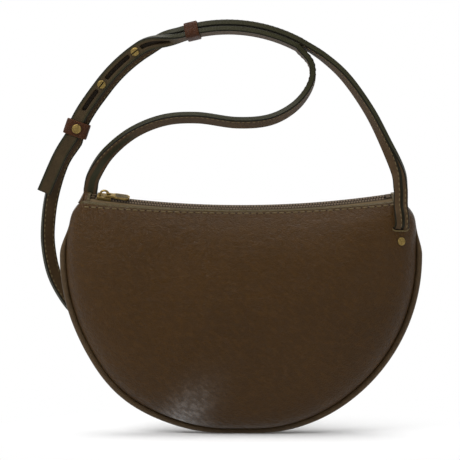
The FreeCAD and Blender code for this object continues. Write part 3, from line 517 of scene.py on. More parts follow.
def stitches(name, points, runs, outs, length, radius):
    """Threads: short round bars along the run, highest in the middle and sunk at both ends."""
    steps = 7
    around = 6
    share = np.linspace(-1, 1, steps)
    girth = radius * np.sqrt(np.maximum(0.05, 1 - share ** 6))
    lift = radius * (0.1 - 1.1 * np.abs(share) ** 4)
    centre = points[:, None] + runs[:, None] * (share * length / 2)[:, None] + outs[:, None] * lift[:, None]
    ring = ring_of(around, np.cross(outs, runs)[:, None], 0.7 * outs[:, None])
    rings = centre[:, :, None] + girth[:, None, None] * ring
    bar = grid_faces(steps, around, True)[:, ::-1]
    faces = bar + steps * around * np.arange(len(points))[:, None, None]
    return add_mesh(name, rings, faces.reshape(-1, 4).tolist(), ["thread"])


def along_line(line, pitch, start=0.0):
    """Evenly spaced points of a line, with the runs there and their places in its list of points."""
    steps = np.linalg.norm(np.diff(line, axis=0), axis=1)
    way = np.concatenate([[0], np.cumsum(steps)])
    wanted = np.arange(pitch / 2 + start, way[-1] - pitch / 2, pitch)
    points = np.stack([np.interp(wanted, way, line[:, c]) for c in range(3)], axis=1)
    index = np.interp(wanted, way, np.arange(len(line)))
    low = np.clip(index.astype(int), 0, len(line) - 2)
    return points, unit(line[low + 1] - line[low]), index


# Materials

class Ink:
    """A value in a node tree; its operators add Math nodes."""

    def __init__(self, tree, socket=None):
        self.tree = tree
        self.socket = socket

    def node(self, kind, settings=None, inputs=None, output=0):
        """New node of a kind: its settings are set first, then its inputs; gives one output."""
        made = self.tree.nodes.new(kind)
        for key, value in (settings or {}).items():
            setattr(made, key, value)
        for key, value in (inputs or {}).items():
            if isinstance(value, Ink):
                self.tree.links.new(value.socket, made.inputs[key])
            else:
                made.inputs[key].default_value = value
        return Ink(self.tree, made.outputs[output])

    def maths(self, operation, first, second=0.0):
        """Math node on two values."""
        return self.node("ShaderNodeMath", {"operation": operation}, {0: first, 1: second})

    def __add__(self, other):
        return self.maths("ADD", self, other)

    __radd__ = __add__

    def __sub__(self, other):
        return self.maths("SUBTRACT", self, other)

    def __rsub__(self, other):
        return self.maths("SUBTRACT", other, self)

    def __mul__(self, other):
        return self.maths("MULTIPLY", self, other)

    def between(self, low, high):
        """0 at low and 1 at high, smooth in between."""
        return self.node("ShaderNodeMapRange", {"interpolation_type": "SMOOTHSTEP"},
                         {"Value": self, "From Min": low, "From Max": high})

    def blend(self, first, second):
        """Mix of two colours by this value."""
        first, second = [side if isinstance(side, Ink) else (*side, 1.0) for side in (first, second)]
        return self.node("ShaderNodeMix", {"data_type": "RGBA"}, {"Factor": self, 6: first, 7: second}, 2)

    def tones(self, colour, dark, light):
        """Mix of two shades of one colour by this value."""
        return self.blend(shade(colour, dark), shade(colour, light))


def new_material(name):
    """Empty material, the ink that draws in it, and its object's own coordinates."""
    material = bpy.data.materials.get(name) or bpy.data.materials.new(name)
    material.use_nodes = True
    material.node_tree.nodes.clear()
    ink = Ink(material.node_tree)
    return material, ink, ink.node("ShaderNodeTexCoord", output="Object")


def shown(ink, shader, kind="ShaderNodeOutputMaterial"):
    """Joins a shader to the output of its tree."""
    output = ink.tree.nodes.new(kind)
    ink.tree.links.new(shader.socket, output.inputs["Surface"])


def surface(ink, inputs):
    """Principled shader with these inputs, joined to the material's output."""
    shown(ink, ink.node("ShaderNodeBsdfPrincipled", None, inputs))


def noise(ink, place, scale, detail=3.0):
    """Soft noise of a scale per metre."""
    return ink.node("ShaderNodeTexNoise", None,
                    {"Vector": place, "Scale": scale, "Detail": detail, "Roughness": 0.55})


def bump(ink, strength, distance, height):
    """Normal of a surface that a height raises by a distance in metres."""
    return ink.node("ShaderNodeBump", None, {"Strength": strength, "Distance": distance, "Height": height})


def mark(ink, name):
    """Value of a mesh's own attribute."""
    return ink.node("ShaderNodeAttribute", {"attribute_name": name}, output="Fac")


def shade(colour, factor):
    """Colour made lighter or darker."""
    return tuple(min(1.0, channel * factor) for channel in colour)


def leather_material(name, colour, roughness=0.3, grain=1.0, rim=(0, 0, 0)):
    """Satin leather: mottled colour, pebbled grain, slanted wrinkles that are also lightened in colour as
    painted sheen, uneven gloss and a painted rim.
    """
    material, ink, place = new_material(name)
    slanted = ink.node("ShaderNodeMapping", {"vector_type": "TEXTURE"}, {
        "Vector": place, "Rotation": (0.0, 0.6, 0.0), "Scale": (1.0, 1.0, 0.5)})
    mottle = noise(ink, place, 16.0, 4.0).between(0.3, 0.7)
    fine = noise(ink, place, 420.0)
    wrinkles = noise(ink, slanted, 210.0, 4.0)
    pores = ink.node("ShaderNodeTexVoronoi", {"feature": "DISTANCE_TO_EDGE"},
                     {"Vector": place, "Scale": 620.0})
    tone = mottle.tones(colour, 0.9, 1.1)
    tone = (fine.between(0.35, 0.65) * 0.35).blend(tone, shade(colour, 0.75))
    # Wrinkles made lighter in colour: painted sheen on them, on top of their bump
    tone = (wrinkles.between(0.42, 0.72) * 0.5).blend(tone, shade(colour, 1.5))
    tone = mark(ink, "rim").blend(tone, rim)
    pebbles = pores.between(0.0, 0.16) * 0.4 + fine * 0.6
    height = pebbles + wrinkles * 1.5 + noise(ink, place, 70.0) * 0.9
    surface(ink, {
        "Base Color": tone, "Roughness": roughness - 0.05 + mottle * 0.06 + fine * 0.08,
        "Normal": bump(ink, 0.75 * grain, 0.0009, height), "Specular IOR Level": 0.13,
        "Coat Weight": mark(ink, "polish") * (0.4 + wrinkles.between(0.38, 0.68) * 0.6),
        "Coat Roughness": 0.26, "Coat IOR": 2.0})
    return material


def strap_material(name, colour, paint):
    """Leather faces and painted edges, with dark borders and dark slots of painted shade, mixed by the
    strap's attributes.
    """
    material, ink, place = new_material(name)
    painted = mark(ink, "paint")
    mottle = noise(ink, place, 60.0, 4.0).between(0.3, 0.7)
    fine = noise(ink, place, 520.0)
    hatch = ink.maths("SINE", mark(ink, "way") * 5.6 + mark(ink, "across") * 2.4) * 0.5 + 0.5
    face = mottle.tones(colour, 0.84, 1.16)
    face = (hatch * fine.between(0.3, 0.7) * 0.5).blend(face, shade(colour, 1.5))
    edge = mottle.tones(paint, 0.85, 1.15)
    edge = (hatch * 0.3).blend(edge, shade(paint, 0.6))
    tone = painted.blend(face, edge)
    # Dark lines at the corners and in the grooves: the edge paint darkened as painted shade
    tone = mark(ink, "line").blend(tone, shade(paint, 0.22))
    # Slots darkened: painted shade of their openings
    tone = mark(ink, "slot").blend(tone, shade(colour, 0.35))
    height = fine + noise(ink, place, 150.0) * 0.7 + hatch * 0.25
    surface(ink, {
        "Base Color": tone, "Roughness": 0.5 - painted * 0.14 + fine * 0.06,
        "Normal": bump(ink, 0.3, 0.0005, height), "Specular IOR Level": 0.12})
    return material


def thread_material(name, colour):
    """Waxed thread with a fine twist."""
    material, ink, place = new_material(name)
    fine = noise(ink, place, 1600.0, 2.0)
    surface(ink, {
        "Base Color": fine.tones(colour, 0.7, 1.2), "Roughness": 0.6,
        "Normal": bump(ink, 0.5, 0.0002, fine), "Specular IOR Level": 0.15})
    return material


def tape_material(name, colour):
    """Woven tape: ribs along and across the weave, painted dark as shade between the teeth."""
    material, ink, place = new_material(name)
    ribs, picks = [
        ink.node("ShaderNodeTexWave", {"bands_direction": direction},
                 {"Vector": place, "Scale": scale, "Distortion": 0.6, "Detail": 1.0}, "Fac")
        for direction, scale in (("X", 320.0), ("Y", 420.0))]
    weave = ribs * 0.6 + picks * 0.4
    surface(ink, {
        "Base Color": mark(ink, "dark").blend(weave.tones(colour, 0.72, 1.15), shade(colour, 0.1)),
        "Roughness": 0.8, "Normal": bump(ink, 0.5, 0.0004, weave), "Specular IOR Level": 0.1})
    return material


def brass_material(name, colour):
    """Antique brass: metal with darker patina in patches."""
    material, ink, place = new_material(name)
    patina = noise(ink, place, 700.0, 4.0).between(0.42, 0.68)
    surface(ink, {
        "Base Color": patina.tones(colour, 1.0, 0.55), "Metallic": 1.0, "Roughness": 0.4 + patina * 0.15,
        "Normal": bump(ink, 0.12, 0.0002, noise(ink, place, 1500.0))})
    return material


def tooth_material(name, colour, gloss=0.3):
    """Dull metal-coloured teeth with small differences."""
    material, ink, place = new_material(name)
    vary = noise(ink, place, 500.0, 2.0)
    surface(ink, {
        "Base Color": vary.tones(colour, 0.75, 1.2), "Roughness": 0.38 + vary * 0.1,
        "Specular IOR Level": gloss})
    return material


def seen_rays(ink):
    """1 for the camera's own rays, and 1 for those that a mirror or a glass sends on, each else 0."""
    camera, glossy, through = [
        ink.node("ShaderNodeLightPath", output="Is %s Ray" % kind)
        for kind in ("Camera", "Glossy", "Transmission")]
    return camera, ink.maths("MAXIMUM", glossy, through)


def floor_material(name):
    """Floor that glows white away from the bag, so that only the shadow by the bag shows on it."""
    material, ink, place = new_material(name)
    away = ink.node("ShaderNodeVectorMath", {"operation": "LENGTH"}, {0: place}, "Value")
    camera_rays, mirror_rays = seen_rays(ink)
    glowing = ink.maths("MAXIMUM", camera_rays * away.between(0.05, 0.2), mirror_rays * 0.9)
    plain = ink.node("ShaderNodeBsdfDiffuse", None, {"Color": (0.9, 0.9, 0.9, 1)})
    glow = ink.node("ShaderNodeEmission", None, {"Color": (1, 1, 1, 1), "Strength": 1.0})
    shown(ink, ink.node("ShaderNodeMixShader", None, {0: glowing, 1: plain, 2: glow}))
    return material


# Settings

def tint(name, text, default):
    """Colour setting."""
    return FloatVectorProperty(
        name=name, description=text, subtype="COLOR", size=3, min=0, max=1, default=default)


def measure(name, text, default, low, high):
    """Setting of a length."""
    return FloatProperty(
        name=name, description=text + ", in millimetres", default=default, min=low, max=high)


class BagFinish(bpy.types.PropertyGroup):
    """Colours of the bag's leather, thread and fittings."""

    leather: tint("Leather", "Colour of the panels", (0.0392, 0.0174, 0.0024))
    piping: tint("Piping", "Colour of the piping", (0.056, 0.034, 0.015))
    strap: tint("Strap", "Colour of the strap's faces", (0.045, 0.0265, 0.0115))
    paint: tint("Edge paint", "Colour of the painted edges", (0.024, 0.0225, 0.010))
    rim: tint("Rim", "Colour of the mouth's rims and the slots' lips", (0.066, 0.048, 0.020))
    keeper: tint("Keeper", "Colour of the keeper loops", (0.036, 0.0108, 0.0024))
    thread: tint("Thread", "Colour of the sewing thread", (0.105, 0.076, 0.034))
    tape: tint("Tape", "Colour of the woven zip tape", (0.115, 0.080, 0.042))
    teeth: tint("Teeth", "Colour of the zip's teeth", (0.135, 0.092, 0.054))
    brass: tint("Brass", "Colour of the metal fittings", (0.31, 0.215, 0.07))


class BagSewing(bpy.types.PropertyGroup):
    """Sizes of the sewing."""

    mouth_pitch: measure("Mouth pitch", "Stitch pitch along the zip", 5.2, 2, 12)
    mouth_inset: measure("Mouth inset", "Distance of the stitches from the mouth's rim", 1.3, 0.8, 6)
    mouth_thread: measure("Mouth thread", "Half the mouth thread's thickness", 0.55, 0.1, 1)
    strap_pitch: measure("Strap pitch", "Stitch pitch along the strap", 3.9, 2, 12)
    thread_radius: measure("Thread radius", "Half the strap thread's thickness", 0.42, 0.1, 1)


def finishes():
    """Materials of the bag and its floor by their plain names."""
    finish = bpy.context.scene.bag_finish
    return {
        "leather": leather_material("bag_leather", finish.leather, rim=finish.rim),
        "piping": leather_material("piping_leather", finish.piping, 0.4, 0.7),
        "edge": leather_material("painted_edge", finish.rim, 0.42, 0.4),
        # Slot lips: the rim colour lightened as painted light
        "lip": leather_material("slot_lip_lightened", shade(finish.rim, 1.7), 0.42, 0.4),
        # Dark finish of the needle holes, screw slots and slot openings: painted shade of the holes
        "hole": leather_material("painted_hole_shade", shade(finish.leather, 0.12), 0.7, 0.4),
        "strap": strap_material("strap_leather", finish.strap, finish.paint),
        "keeper": leather_material("keeper_leather", finish.keeper, 0.4, 0.8, shade(finish.keeper, 1.7)),
        "thread": thread_material("thread", finish.thread),
        "tape": tape_material("zip_tape", finish.tape),
        "teeth": tooth_material("zip_teeth", finish.teeth),
        # Stops: the teeth's colour darkened as painted shade, so that their flat tops don't show lighter
        "stop": tooth_material("zip_stops_shaded", shade(finish.teeth, 0.4), 0.04),
        "inlay": brass_material("dark_brass", shade(finish.brass, 0.25)),
        "brass": brass_material("antique_brass", finish.brass),
        "floor": floor_material("studio_floor"),
    }


def ride_on(piece, body, slot, *nodes):
    """The piece moves with a body and stands for CAD nodes, which it hides; the slot is not used."""
    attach(piece, body)
    if nodes:
        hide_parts(*nodes)


# Panels and piping

PANEL_COLUMNS = 261
GROOVE_DEPTH = 0.3
POLISH_X = -46.0
POLISH_Z = 8.0
POLISH_LEAN = 0.5
POLISH_WIDTH = 16.0
POLISH_HEIGHT = 24.0
PIPING_THINS = (134.0, 158.0)
PIPING_ROOT = 1.6


class BAG_OT_panels(bpy.types.Operator):
    """Front and back leather panels with their painted edges"""

    bl_idname = "bag.panels"
    bl_label = "Panels"

    def execute(self, context):
        # Columns lie closer at the strap slots, rows at the mouth
        places = np.linspace(-1, 1, 4001)
        density = 1 + 2.5 * bell(np.abs(places), 0.84, 0.07)
        total = np.concatenate([[0], np.cumsum((density[1:] + density[:-1]) / 2)])
        parts = np.interp(np.linspace(0, total[-1], PANEL_COLUMNS), total, places)[:, None]
        ways = np.concatenate([np.linspace(0, 0.05, 29), np.linspace(0.05, 1, 113)[1:]])[None, :]
        rim = rim_width(parts)
        for side, name in ((-1, "front_panel"), (1, "back_panel")):
            points = panel_point(side, parts, ways)
            from_edge = np.linalg.norm(points - points[:, :1], axis=-1)
            groove = GROOVE_DEPTH * bell(from_edge, rim + 0.15, 0.4)
            points = points - panel_normal(side, parts + 0 * ways, ways + 0 * parts) * groove[..., None]
            faces = grid_faces(PANEL_COLUMNS, ways.size)[:, ::side]
            piece = add_mesh(name + "_leather", points, faces.tolist(), ["leather", "edge"])
            paint_points(piece, "rim", 1 - ease(from_edge, rim - 0.5, rim + 0.1))
            height = points[..., 2]
            slanted = points[..., 0] - POLISH_LEAN * (height - POLISH_Z)
            polish = bell(slanted, POLISH_X, POLISH_WIDTH) * bell(height, POLISH_Z, POLISH_HEIGHT)
            paint_points(piece, "polish", polish * (side < 0))
            wall = add_wall(piece, LEATHER)
            wall.material_offset_rim = 1
            ride_on(piece, "bag", "bag_leather", name)
        return {"FINISHED"}


class BAG_OT_piping(bpy.types.Operator):
    """Round piping along the curved seam, which thins to a flat strip between the panels at both ends"""

    bl_idname = "bag.piping"
    bl_label = "Piping"

    def execute(self, context):
        part = np.linspace(-0.999, 0.999, 481)
        seam = seam_point(part)
        radius = PIPING / 2 * (1 - 0.96 * ease(seam[:, 2], *PIPING_THINS))
        out = unit(seam_point(part, 1) - seam)
        centre = seam + out * radius[:, None]
        angle = circle(20)
        inner = np.maximum(radius, PIPING_ROOT)[:, None]
        outwards = np.where(np.cos(angle) < 0, inner, radius[:, None]) * np.cos(angle)
        sideways = np.maximum(radius, SEAM_GAP + 0.05)[:, None] * np.sin(angle)
        rings = centre[:, None] + outwards[..., None] * out[:, None] + sideways[..., None] * vec(0, 1, 0)
        rings[..., 2] = np.maximum(rings[..., 2], 0)
        piece = tube_mesh("piping", rings[:, ::-1], "piping")
        ride_on(piece, "bag", "bag_leather", "piping_cover", "piping_core")
        return {"FINISHED"}


# Zip

# Points of a tape's section that are painted dark as shade under and between the teeth
TAPE_TOOTH_SHADE = [1, 1, 0.8, 0, 0, 0, 0, 0, 0, 0, 0, 1, 1, 1]
TOOTH_START = 9.2
CHAIN_FREE = 17.6
TOOTH_AWAY = 1.75
TOOTH_SIZE = vec(0.84, 1.25, 1.15)
END_LIFT = 1.3
PATCH_THICKNESS = 1.2


def zip_frame(x):
    """Frames on the chain: across the zip, out of it; the chain runs along their cross product."""
    angle = np.arcsin(np.asarray(x, float) / ZIP_BEND)
    rise = vec(-np.sin(angle), 0, np.cos(angle))
    across = rise * math.sin(ZIP_TILT) + vec(0, math.cos(ZIP_TILT), 0)
    out = rise * math.cos(ZIP_TILT) - vec(0, math.sin(ZIP_TILT), 0)
    return np.stack([zip_point(angle, 0, 0), across, out], axis=-2)


def tape_profile(side):
    """Across and up of a tape's middle, flat in the chain's plane and then a falling hem, and its outs."""
    drop = FALLS[side] + math.radians(4)
    reach = np.array([0.75, 2.0, 3.4, TAPE_REACH, TAPE_REACH, TAPE_REACH, TAPE_REACH])
    hem = np.array([0, 0, 0, 0, 0.35, 0.7, 1.0]) * TAPE_HEM
    across = side * (reach * math.cos(ZIP_TILT) + hem * math.cos(drop))
    up = side * reach * math.sin(ZIP_TILT) - hem * math.sin(drop)
    lean = np.array([1, 1, 1, 0.6, 0, 0, 0])
    out_y = -lean * math.sin(ZIP_TILT) + (1 - lean) * side * math.sin(drop)
    out_z = lean * math.cos(ZIP_TILT) + (1 - lean) * math.cos(drop)
    return across, up, out_y, out_z


def beads(name, centres, axes, sizes):
    """Rounded teeth: rings of eight points on an ellipsoid round every centre, with its poles closed."""
    latitude = np.radians([-80, -45, 0, 45, 80])[:, None]
    longitude = circle(8)
    ball = vec(np.cos(latitude) * np.cos(longitude), np.cos(latitude) * np.sin(longitude), np.sin(latitude))
    ball = boxed(ball, 0.8) * sizes
    points = centres[:, None, None] + np.einsum("abk,nkc->nabc", ball, axes)
    corners = ball[..., 0].size
    faces = []
    for index in range(len(centres)):
        faces += [[corner + corners * index for corner in face[::-1]] for face in tube_faces(ball)]
    return add_mesh(name, points, faces, ["teeth"])


class BAG_OT_zip(bpy.types.Operator):
    """Woven tapes, two rows of rounded teeth and the leather ends of the zip's window"""

    bl_idname = "bag.zip"
    bl_label = "Zip"

    def execute(self, context):
        sides = ((-1, "front_zip_"), (1, "rear_zip_"))
        for side, name in sides:
            self.add_tape(side, name + "tape")
        for side, name in sides:
            self.add_teeth(side, name + "teeth")
        for hand, name in ((-1, "left_"), (1, "right_")):
            self.add_end(hand, name)
        return {"FINISHED"}

    def add_tape(self, side, name):
        """Tape carried along the zip's curve, painted dark as shade where the teeth are."""
        half = TAPE_THICKNESS / 2
        angle = np.linspace(-ZIP_END + 0.001, ZIP_END - 0.001, 161)[:, None]
        across, up, out_y, out_z = tape_profile(side)
        loop_y = np.concatenate([across + half * out_y, (across - half * out_y)[::-1]])
        loop_z = np.concatenate([up + half * out_z, (up - half * out_z)[::-1]])
        rings = zip_point(angle, loop_y, loop_z)[:, ::side]
        piece = tube_mesh(name + "_weave", rings, "tape")
        paint_points(piece, "dark", np.broadcast_to(TAPE_TOOTH_SHADE[::side], rings.shape[:2]))
        ride_on(piece, "bag", "zip_tape", name)

    def add_teeth(self, side, name):
        """Row of rounded teeth, half a pitch further on at the rear."""
        count = int((2 * ZIP_HALF - CHAIN_FREE) / TOOTH_PITCH)
        x = -ZIP_HALF + TOOTH_START + (np.arange(count) + (0.5 if side > 0 else 0)) * TOOTH_PITCH
        place, across, out = np.moveaxis(zip_frame(x), 1, 0)
        axes = np.stack([np.cross(across, out), across, out], axis=1)
        piece = beads(name + "_beads", place + side * TOOTH_AWAY * across, axes, TOOTH_SIZE)
        ride_on(piece, "bag", "zip_teeth", name)

    def add_end(self, hand, name):
        """Leather strip over an end of the tapes, and a patch from there to the panels' end edges."""
        profiles = zip(tape_profile(-1), tape_profile(1))
        across, up, out_y, out_z = [np.concatenate([front[::-1], rear]) for front, rear in profiles]
        lift = END_LIFT + 1.2 * bell(across, 0, 3)
        share = np.linspace(0, 1, 9)[:, None]
        turn = hand * (ZIP_END - 0.006 * share)
        outer = zip_point(turn, across + lift * out_y, up + lift * out_z)
        inner = zip_point(turn, across + 0.5 * out_y, up + 0.5 * out_z)
        rings = np.concatenate([outer, inner[:, ::-1]], axis=1)[:, ::-hand]
        piece = tube_mesh(name + "window_end", rings, "leather")
        paint_points(piece, "rim", np.broadcast_to(ease(share, 0.4, 0.7), rings.shape[:2]))
        ride_on(piece, "bag", "bag_leather")

        way = np.linspace(0, 1, 60)
        front = panel_point(-1, hand, way)
        rear = panel_point(1, hand, way)
        edge = np.concatenate([front[front[:, 1] < -SEAM_GAP], rear[rear[:, 1] > SEAM_GAP][::-1]])
        rows = 7
        columns = 25
        y = np.linspace(edge[0, 1], edge[-1, 1], columns)
        x = np.interp(y, edge[:, 1], edge[:, 0]) - hand * 0.2
        above = zip_point(hand * ZIP_END, y, np.interp(y, across, up) + END_LIFT)
        below = vec(x, y, np.interp(y, edge[:, 1], edge[:, 2]))
        share = np.linspace(0, 1, rows)[:, None, None]
        faces = grid_faces(rows, columns)[:, ::-hand]
        points = above * (1 - share) + below * share
        piece = add_mesh(name + "patch_end", points, faces.tolist(), ["leather"])
        add_wall(piece, PATCH_THICKNESS)
        ride_on(piece, "bag", "bag_leather")


# Straps and keepers

FACE_COLUMNS = 25
SIDE_COLUMNS = 7
ARC_COLUMNS = 4
ARC_KINDS = ["arc"] * ARC_COLUMNS
SECTION_KINDS = ["face"] * FACE_COLUMNS + ARC_KINDS + ["side"] * SIDE_COLUMNS + ARC_KINDS
FRONT_FACE = np.arange(2 * len(SECTION_KINDS)) < FACE_COLUMNS
REAR_FACE = np.roll(FRONT_FACE, len(SECTION_KINDS))
STITCH_AWAY = 3.6
STITCH_SHARE = 0.7
GROOVE_ROOT = -0.84
GROOVE_DRIFT = -3.4
GROOVE_RUN = 38.0
GROOVE_END = 46.0
SEWN_FROM = 5.0
SLOT_HALF = 1.7
SLOT_DEPTH = 3.0
BEND_LEAN = 5.0
TAIL_LEAN = 4.5
KEEPER_ROOM = 0.9
KEEPER_WALL = 1.3


def strap_section(thickness):
    """Rounded rectangle: half a width across, half a thickness through, with quarter arcs as corners."""
    half_w = STRAP_WIDTH / 2
    half_t = np.asarray(thickness, float)[:, None] / 2
    bend = np.minimum(0.9, half_t * 0.6)
    face = np.linspace(-1, 1, FACE_COLUMNS)[None, :]
    arc = np.radians(np.linspace(18, 72, ARC_COLUMNS))[None, :]
    side = np.linspace(-1, 1, SIDE_COLUMNS)[None, :]
    across = np.concatenate([
        face * (half_w - bend),
        half_w - bend + bend * np.sin(arc),
        half_w + 0 * side * half_t,
        half_w - bend + bend * np.sin(arc[:, ::-1]),
    ], axis=1)
    through = np.concatenate([
        half_t + 0 * face,
        half_t - bend + bend * np.cos(arc),
        -side * (half_t - bend),
        -half_t + bend - bend * np.cos(arc[:, ::-1]),
    ], axis=1)
    half = np.stack([across, through], axis=-1)
    return np.concatenate([half, -half], axis=1)


def strap_way(frames):
    """Distance along a strap's centre line."""
    steps = np.linalg.norm(np.diff(frames[:, 0], axis=0), axis=1)
    return np.concatenate([[0], np.cumsum(steps)])


def strap_mesh(name, frames, thickness, slots, stripes):
    """Strap carried along its frames, with painted edges, dark borders of painted shade at the corners and
    grooves, sunk slots painted dark as shade, and painted stripes.

    A stripe has its face, its start and end, its middle, half its width, its depth and its strength.
    """
    section = strap_section(thickness)
    way = strap_way(frames)[:, None]
    across = section[..., 0].copy()
    kinds = np.array(2 * SECTION_KINDS)
    paint = np.where(kinds == "face", 0.0, 1.0) + 0 * way
    # The corners, and the grooves' floors, are marked for dark lines of painted shade
    line = np.where(kinds == "arc", 1.0, 0.0) + 0 * way
    # The slot mark sinks the slots and has them painted dark as shade
    slot = 0 * paint
    for low, high in slots:
        reach = np.maximum(0, np.maximum(low + SLOT_HALF - way, way - high + SLOT_HALF))
        inside = 1 - ease(np.hypot(reach, across), SLOT_HALF - 0.35, SLOT_HALF + 0.15)
        slot = np.maximum(slot, inside * FRONT_FACE)
    for face, low, high, middle, half, sink, strength in stripes:
        here = ease(way, low, low + 4) * (1 - ease(way, high - 12, high)) * face * strength
        here = here * (1 - ease(np.abs(across - np.reshape(middle, (-1, 1))), half - 0.5, half + 0.1))
        paint = np.maximum(paint, here)
        line = np.maximum(line, here * min(1, sink))
        section[..., 1] -= np.sign(section[..., 1]) * sink * here
    section[..., 1] -= SLOT_DEPTH * slot * (section[..., 1] > 0)
    centre, width, depth = np.moveaxis(frames, 1, 0)[:, :, None]
    piece = tube_mesh(name, centre + section[..., :1] * width + section[..., 1:] * depth, "strap")
    marks = {"paint": paint, "line": line, "slot": slot, "way": way + 0 * paint, "across": across}
    for label, values in marks.items():
        paint_points(piece, label, values)
    return piece


def strap_stitches(name, frames, thickness, lines):
    """Rows of thread on a strap: each has its face, its distance from the middle, its start and its end."""
    sewing = bpy.context.scene.bag_sewing
    way = strap_way(frames)
    found = []
    for face, offset, low, high in lines:
        sewn = (way >= low) & (way <= high)
        here = frames[sewn]
        reach = np.broadcast_to(offset, way.shape)[sewn, None]
        half = face * thickness[sewn, None] / 2
        line = here[:, 0] + here[:, 1] * reach + here[:, 2] * half
        points, runs, index = along_line(line, sewing.strap_pitch)
        found.append((points, runs, here[np.round(index).astype(int), 2] * face))
    points, runs, outs = [np.concatenate(group) for group in zip(*found)]
    return stitches(name, points, runs, outs, sewing.strap_pitch * STITCH_SHARE, sewing.thread_radius)


def thick(frames):
    """Full strap thickness at every frame."""
    return np.full(len(frames), STRAP_THICKNESS)


def sewn_strap(name, frames, thickness, lines, bend, lean, nodes, slots=(), stripes=()):
    """Strap and its thread, with their placements baked into their meshes, standing for CAD nodes that it
    hides; the bend and the lean are not used.
    """
    piece = strap_mesh(name + "_leather", frames, thickness, slots, stripes)
    sewing = strap_stitches(name + "_thread", frames, thickness, lines)
    for made in (piece, sewing):
        (bend - lean) * MM
        (bend + lean) * MM
        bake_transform(made)
    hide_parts(*nodes)


class BAG_OT_straps(bpy.types.Operator):
    """Front strap, rear strap and the long hanging tail, with their stitching"""

    bl_idname = "bag.straps"
    bl_label = "Straps"

    def execute(self, context):
        self.add_front()
        self.add_rear()
        self.add_tail()
        return {"FINISHED"}

    def add_front(self):
        """Front strap: its root, its rise and its stretch of the pair, with a groove in its lower end."""
        root, root_thickness = root_frames(-1)
        angles = np.linspace(PAIR_START, SPLIT_ANGLE, 200)
        frames = np.concatenate([root, route_frames(FRONT_RISE, 24)[:-1], strand_frames(angles, -1)])
        thickness = np.concatenate([root_thickness, thick(frames[len(root):])])
        way = strap_way(frames)
        bend = way[len(root)]
        end = way[-1]
        turn = np.interp(PAIR_TURN[0], angles, way[-len(angles):])
        drift = ease(way, bend, bend + GROOVE_RUN)
        groove = GROOVE_ROOT + GROOVE_DRIFT * drift
        lines = [
            (1, groove + 1.7 * (1 - 0.6 * drift), SEWN_FROM, turn),
            (1, 0.1 - STITCH_AWAY, SEWN_FROM, bend + 6),
            (1, STITCH_AWAY, turn, end),
            (-1, -STITCH_AWAY, SEWN_FROM, end),
            (-1, STITCH_AWAY, SEWN_FROM, end),
        ]
        stripes = [(FRONT_FACE, 0, bend + GROOVE_END, groove, 1.15, 0.8, 1.0)]
        sewn_strap("front_strap", frames, thickness, lines, hinge_spot(-1),
                   UP * BEND_LEAN, ("front_strap", "front_strap_root"), (), stripes)

    def add_rear(self):
        """Rear strap: its root, its rise with the turn, its slotted stretch of the pair and its tail."""
        root, root_thickness = root_frames(1)
        rise = route_frames(REAR_RISE, 20)[:-1]
        angles = np.linspace(PAIR_START, PAIR_END, 320)
        tail = route_frames(SHORT_TAIL, 24)[1:]
        frames = np.concatenate([root, rise, strand_frames(angles, 1), tail])
        thickness = np.concatenate([root_thickness, thick(frames[len(root):])])
        way = strap_way(frames)
        bend = way[len(root)]
        end = way[-1]
        pair_way = way[len(root) + len(rise):][:len(angles)]
        pair = pair_way[0]
        slots = [np.interp(slot, angles, pair_way) for slot in SLOT_ANGLES]
        coat = np.interp(PAIR_TURN[0] + 1, angles, pair_way)
        lines = [
            (-1, -0.1 - STITCH_AWAY, bend + 20, pair),
            (-1, STITCH_AWAY, pair, end),
            (-1, -STITCH_AWAY, pair, end),
            (1, -STITCH_AWAY, SEWN_FROM, pair),
            (1, STITCH_AWAY, SEWN_FROM, pair),
        ]
        stripes = [(REAR_FACE, 0, bend + 60, 0.2, 2.4, 0.0, 1.0)]
        for middle, half, strength in ((0, 9, 0.35), (3.9, 0.9, 0.9), (-3.9, 0.9, 0.9)):
            stripes.append((FRONT_FACE, coat, end + 12, middle, half, 0.0, strength))
        sewn_strap("rear_strap", frames, thickness, lines, hinge_spot(1),
                   unit(vec(-0.25, 0, 1)) * BEND_LEAN, ("rear_strap", "rear_strap_root"), slots, stripes)

    def add_tail(self):
        """Long tail that hangs from the end of the front strap."""
        start = strand_frames(np.linspace(SPLIT_ANGLE, PAIR_END + 1.4, 14), -1)
        frames = np.concatenate([start, route_frames(LONG_TAIL, 18)])
        lines = [(face, offset, 0, math.inf) for face in (-1, 1) for offset in (-STITCH_AWAY, STITCH_AWAY)]
        sewn_strap("hanging_tail", frames, thick(frames), lines, TAIL_PIVOT[0],
                   UP * -TAIL_LEAN, ("hanging_strap_tail",))


def keeper_loop(name, frame_of, length, hole_width):
    """Band of leather carried round a rounded rectangle that holds both straps."""
    angle = circle(96)
    width = hole_width + KEEPER_ROOM + KEEPER_WALL
    height = 2 * STRAP_THICKNESS + STRAP_GAP + KEEPER_ROOM + KEEPER_WALL
    middle = vec(boxed(np.cos(angle), 0.4) * width / 2, boxed(np.sin(angle), 0.4) * height / 2, 0)
    run = unit(np.roll(middle, -1, axis=0) - np.roll(middle, 1, axis=0))
    out = np.cross(run, UP)
    turn = circle(28)
    band = boxed(np.cos(turn), 0.25) * length / 2
    skin = boxed(np.sin(turn), 0.5) * KEEPER_WALL / 2
    local = middle[:, None] + out[:, None] * skin[:, None] + UP * band[:, None]
    centre, across, through = frame_of
    points = centre + local @ np.stack([across, through, np.cross(across, through)])
    count, around = points.shape[:2]
    faces = grid_faces(count + 1, around, True) % (count * around)
    piece = add_mesh(name, points, faces[:, ::-1].tolist(), ["keeper"])
    rim = ease(np.abs(band), length * 0.44, length * 0.49)
    paint_points(piece, "rim", np.broadcast_to(rim, (count, around)))
    return piece


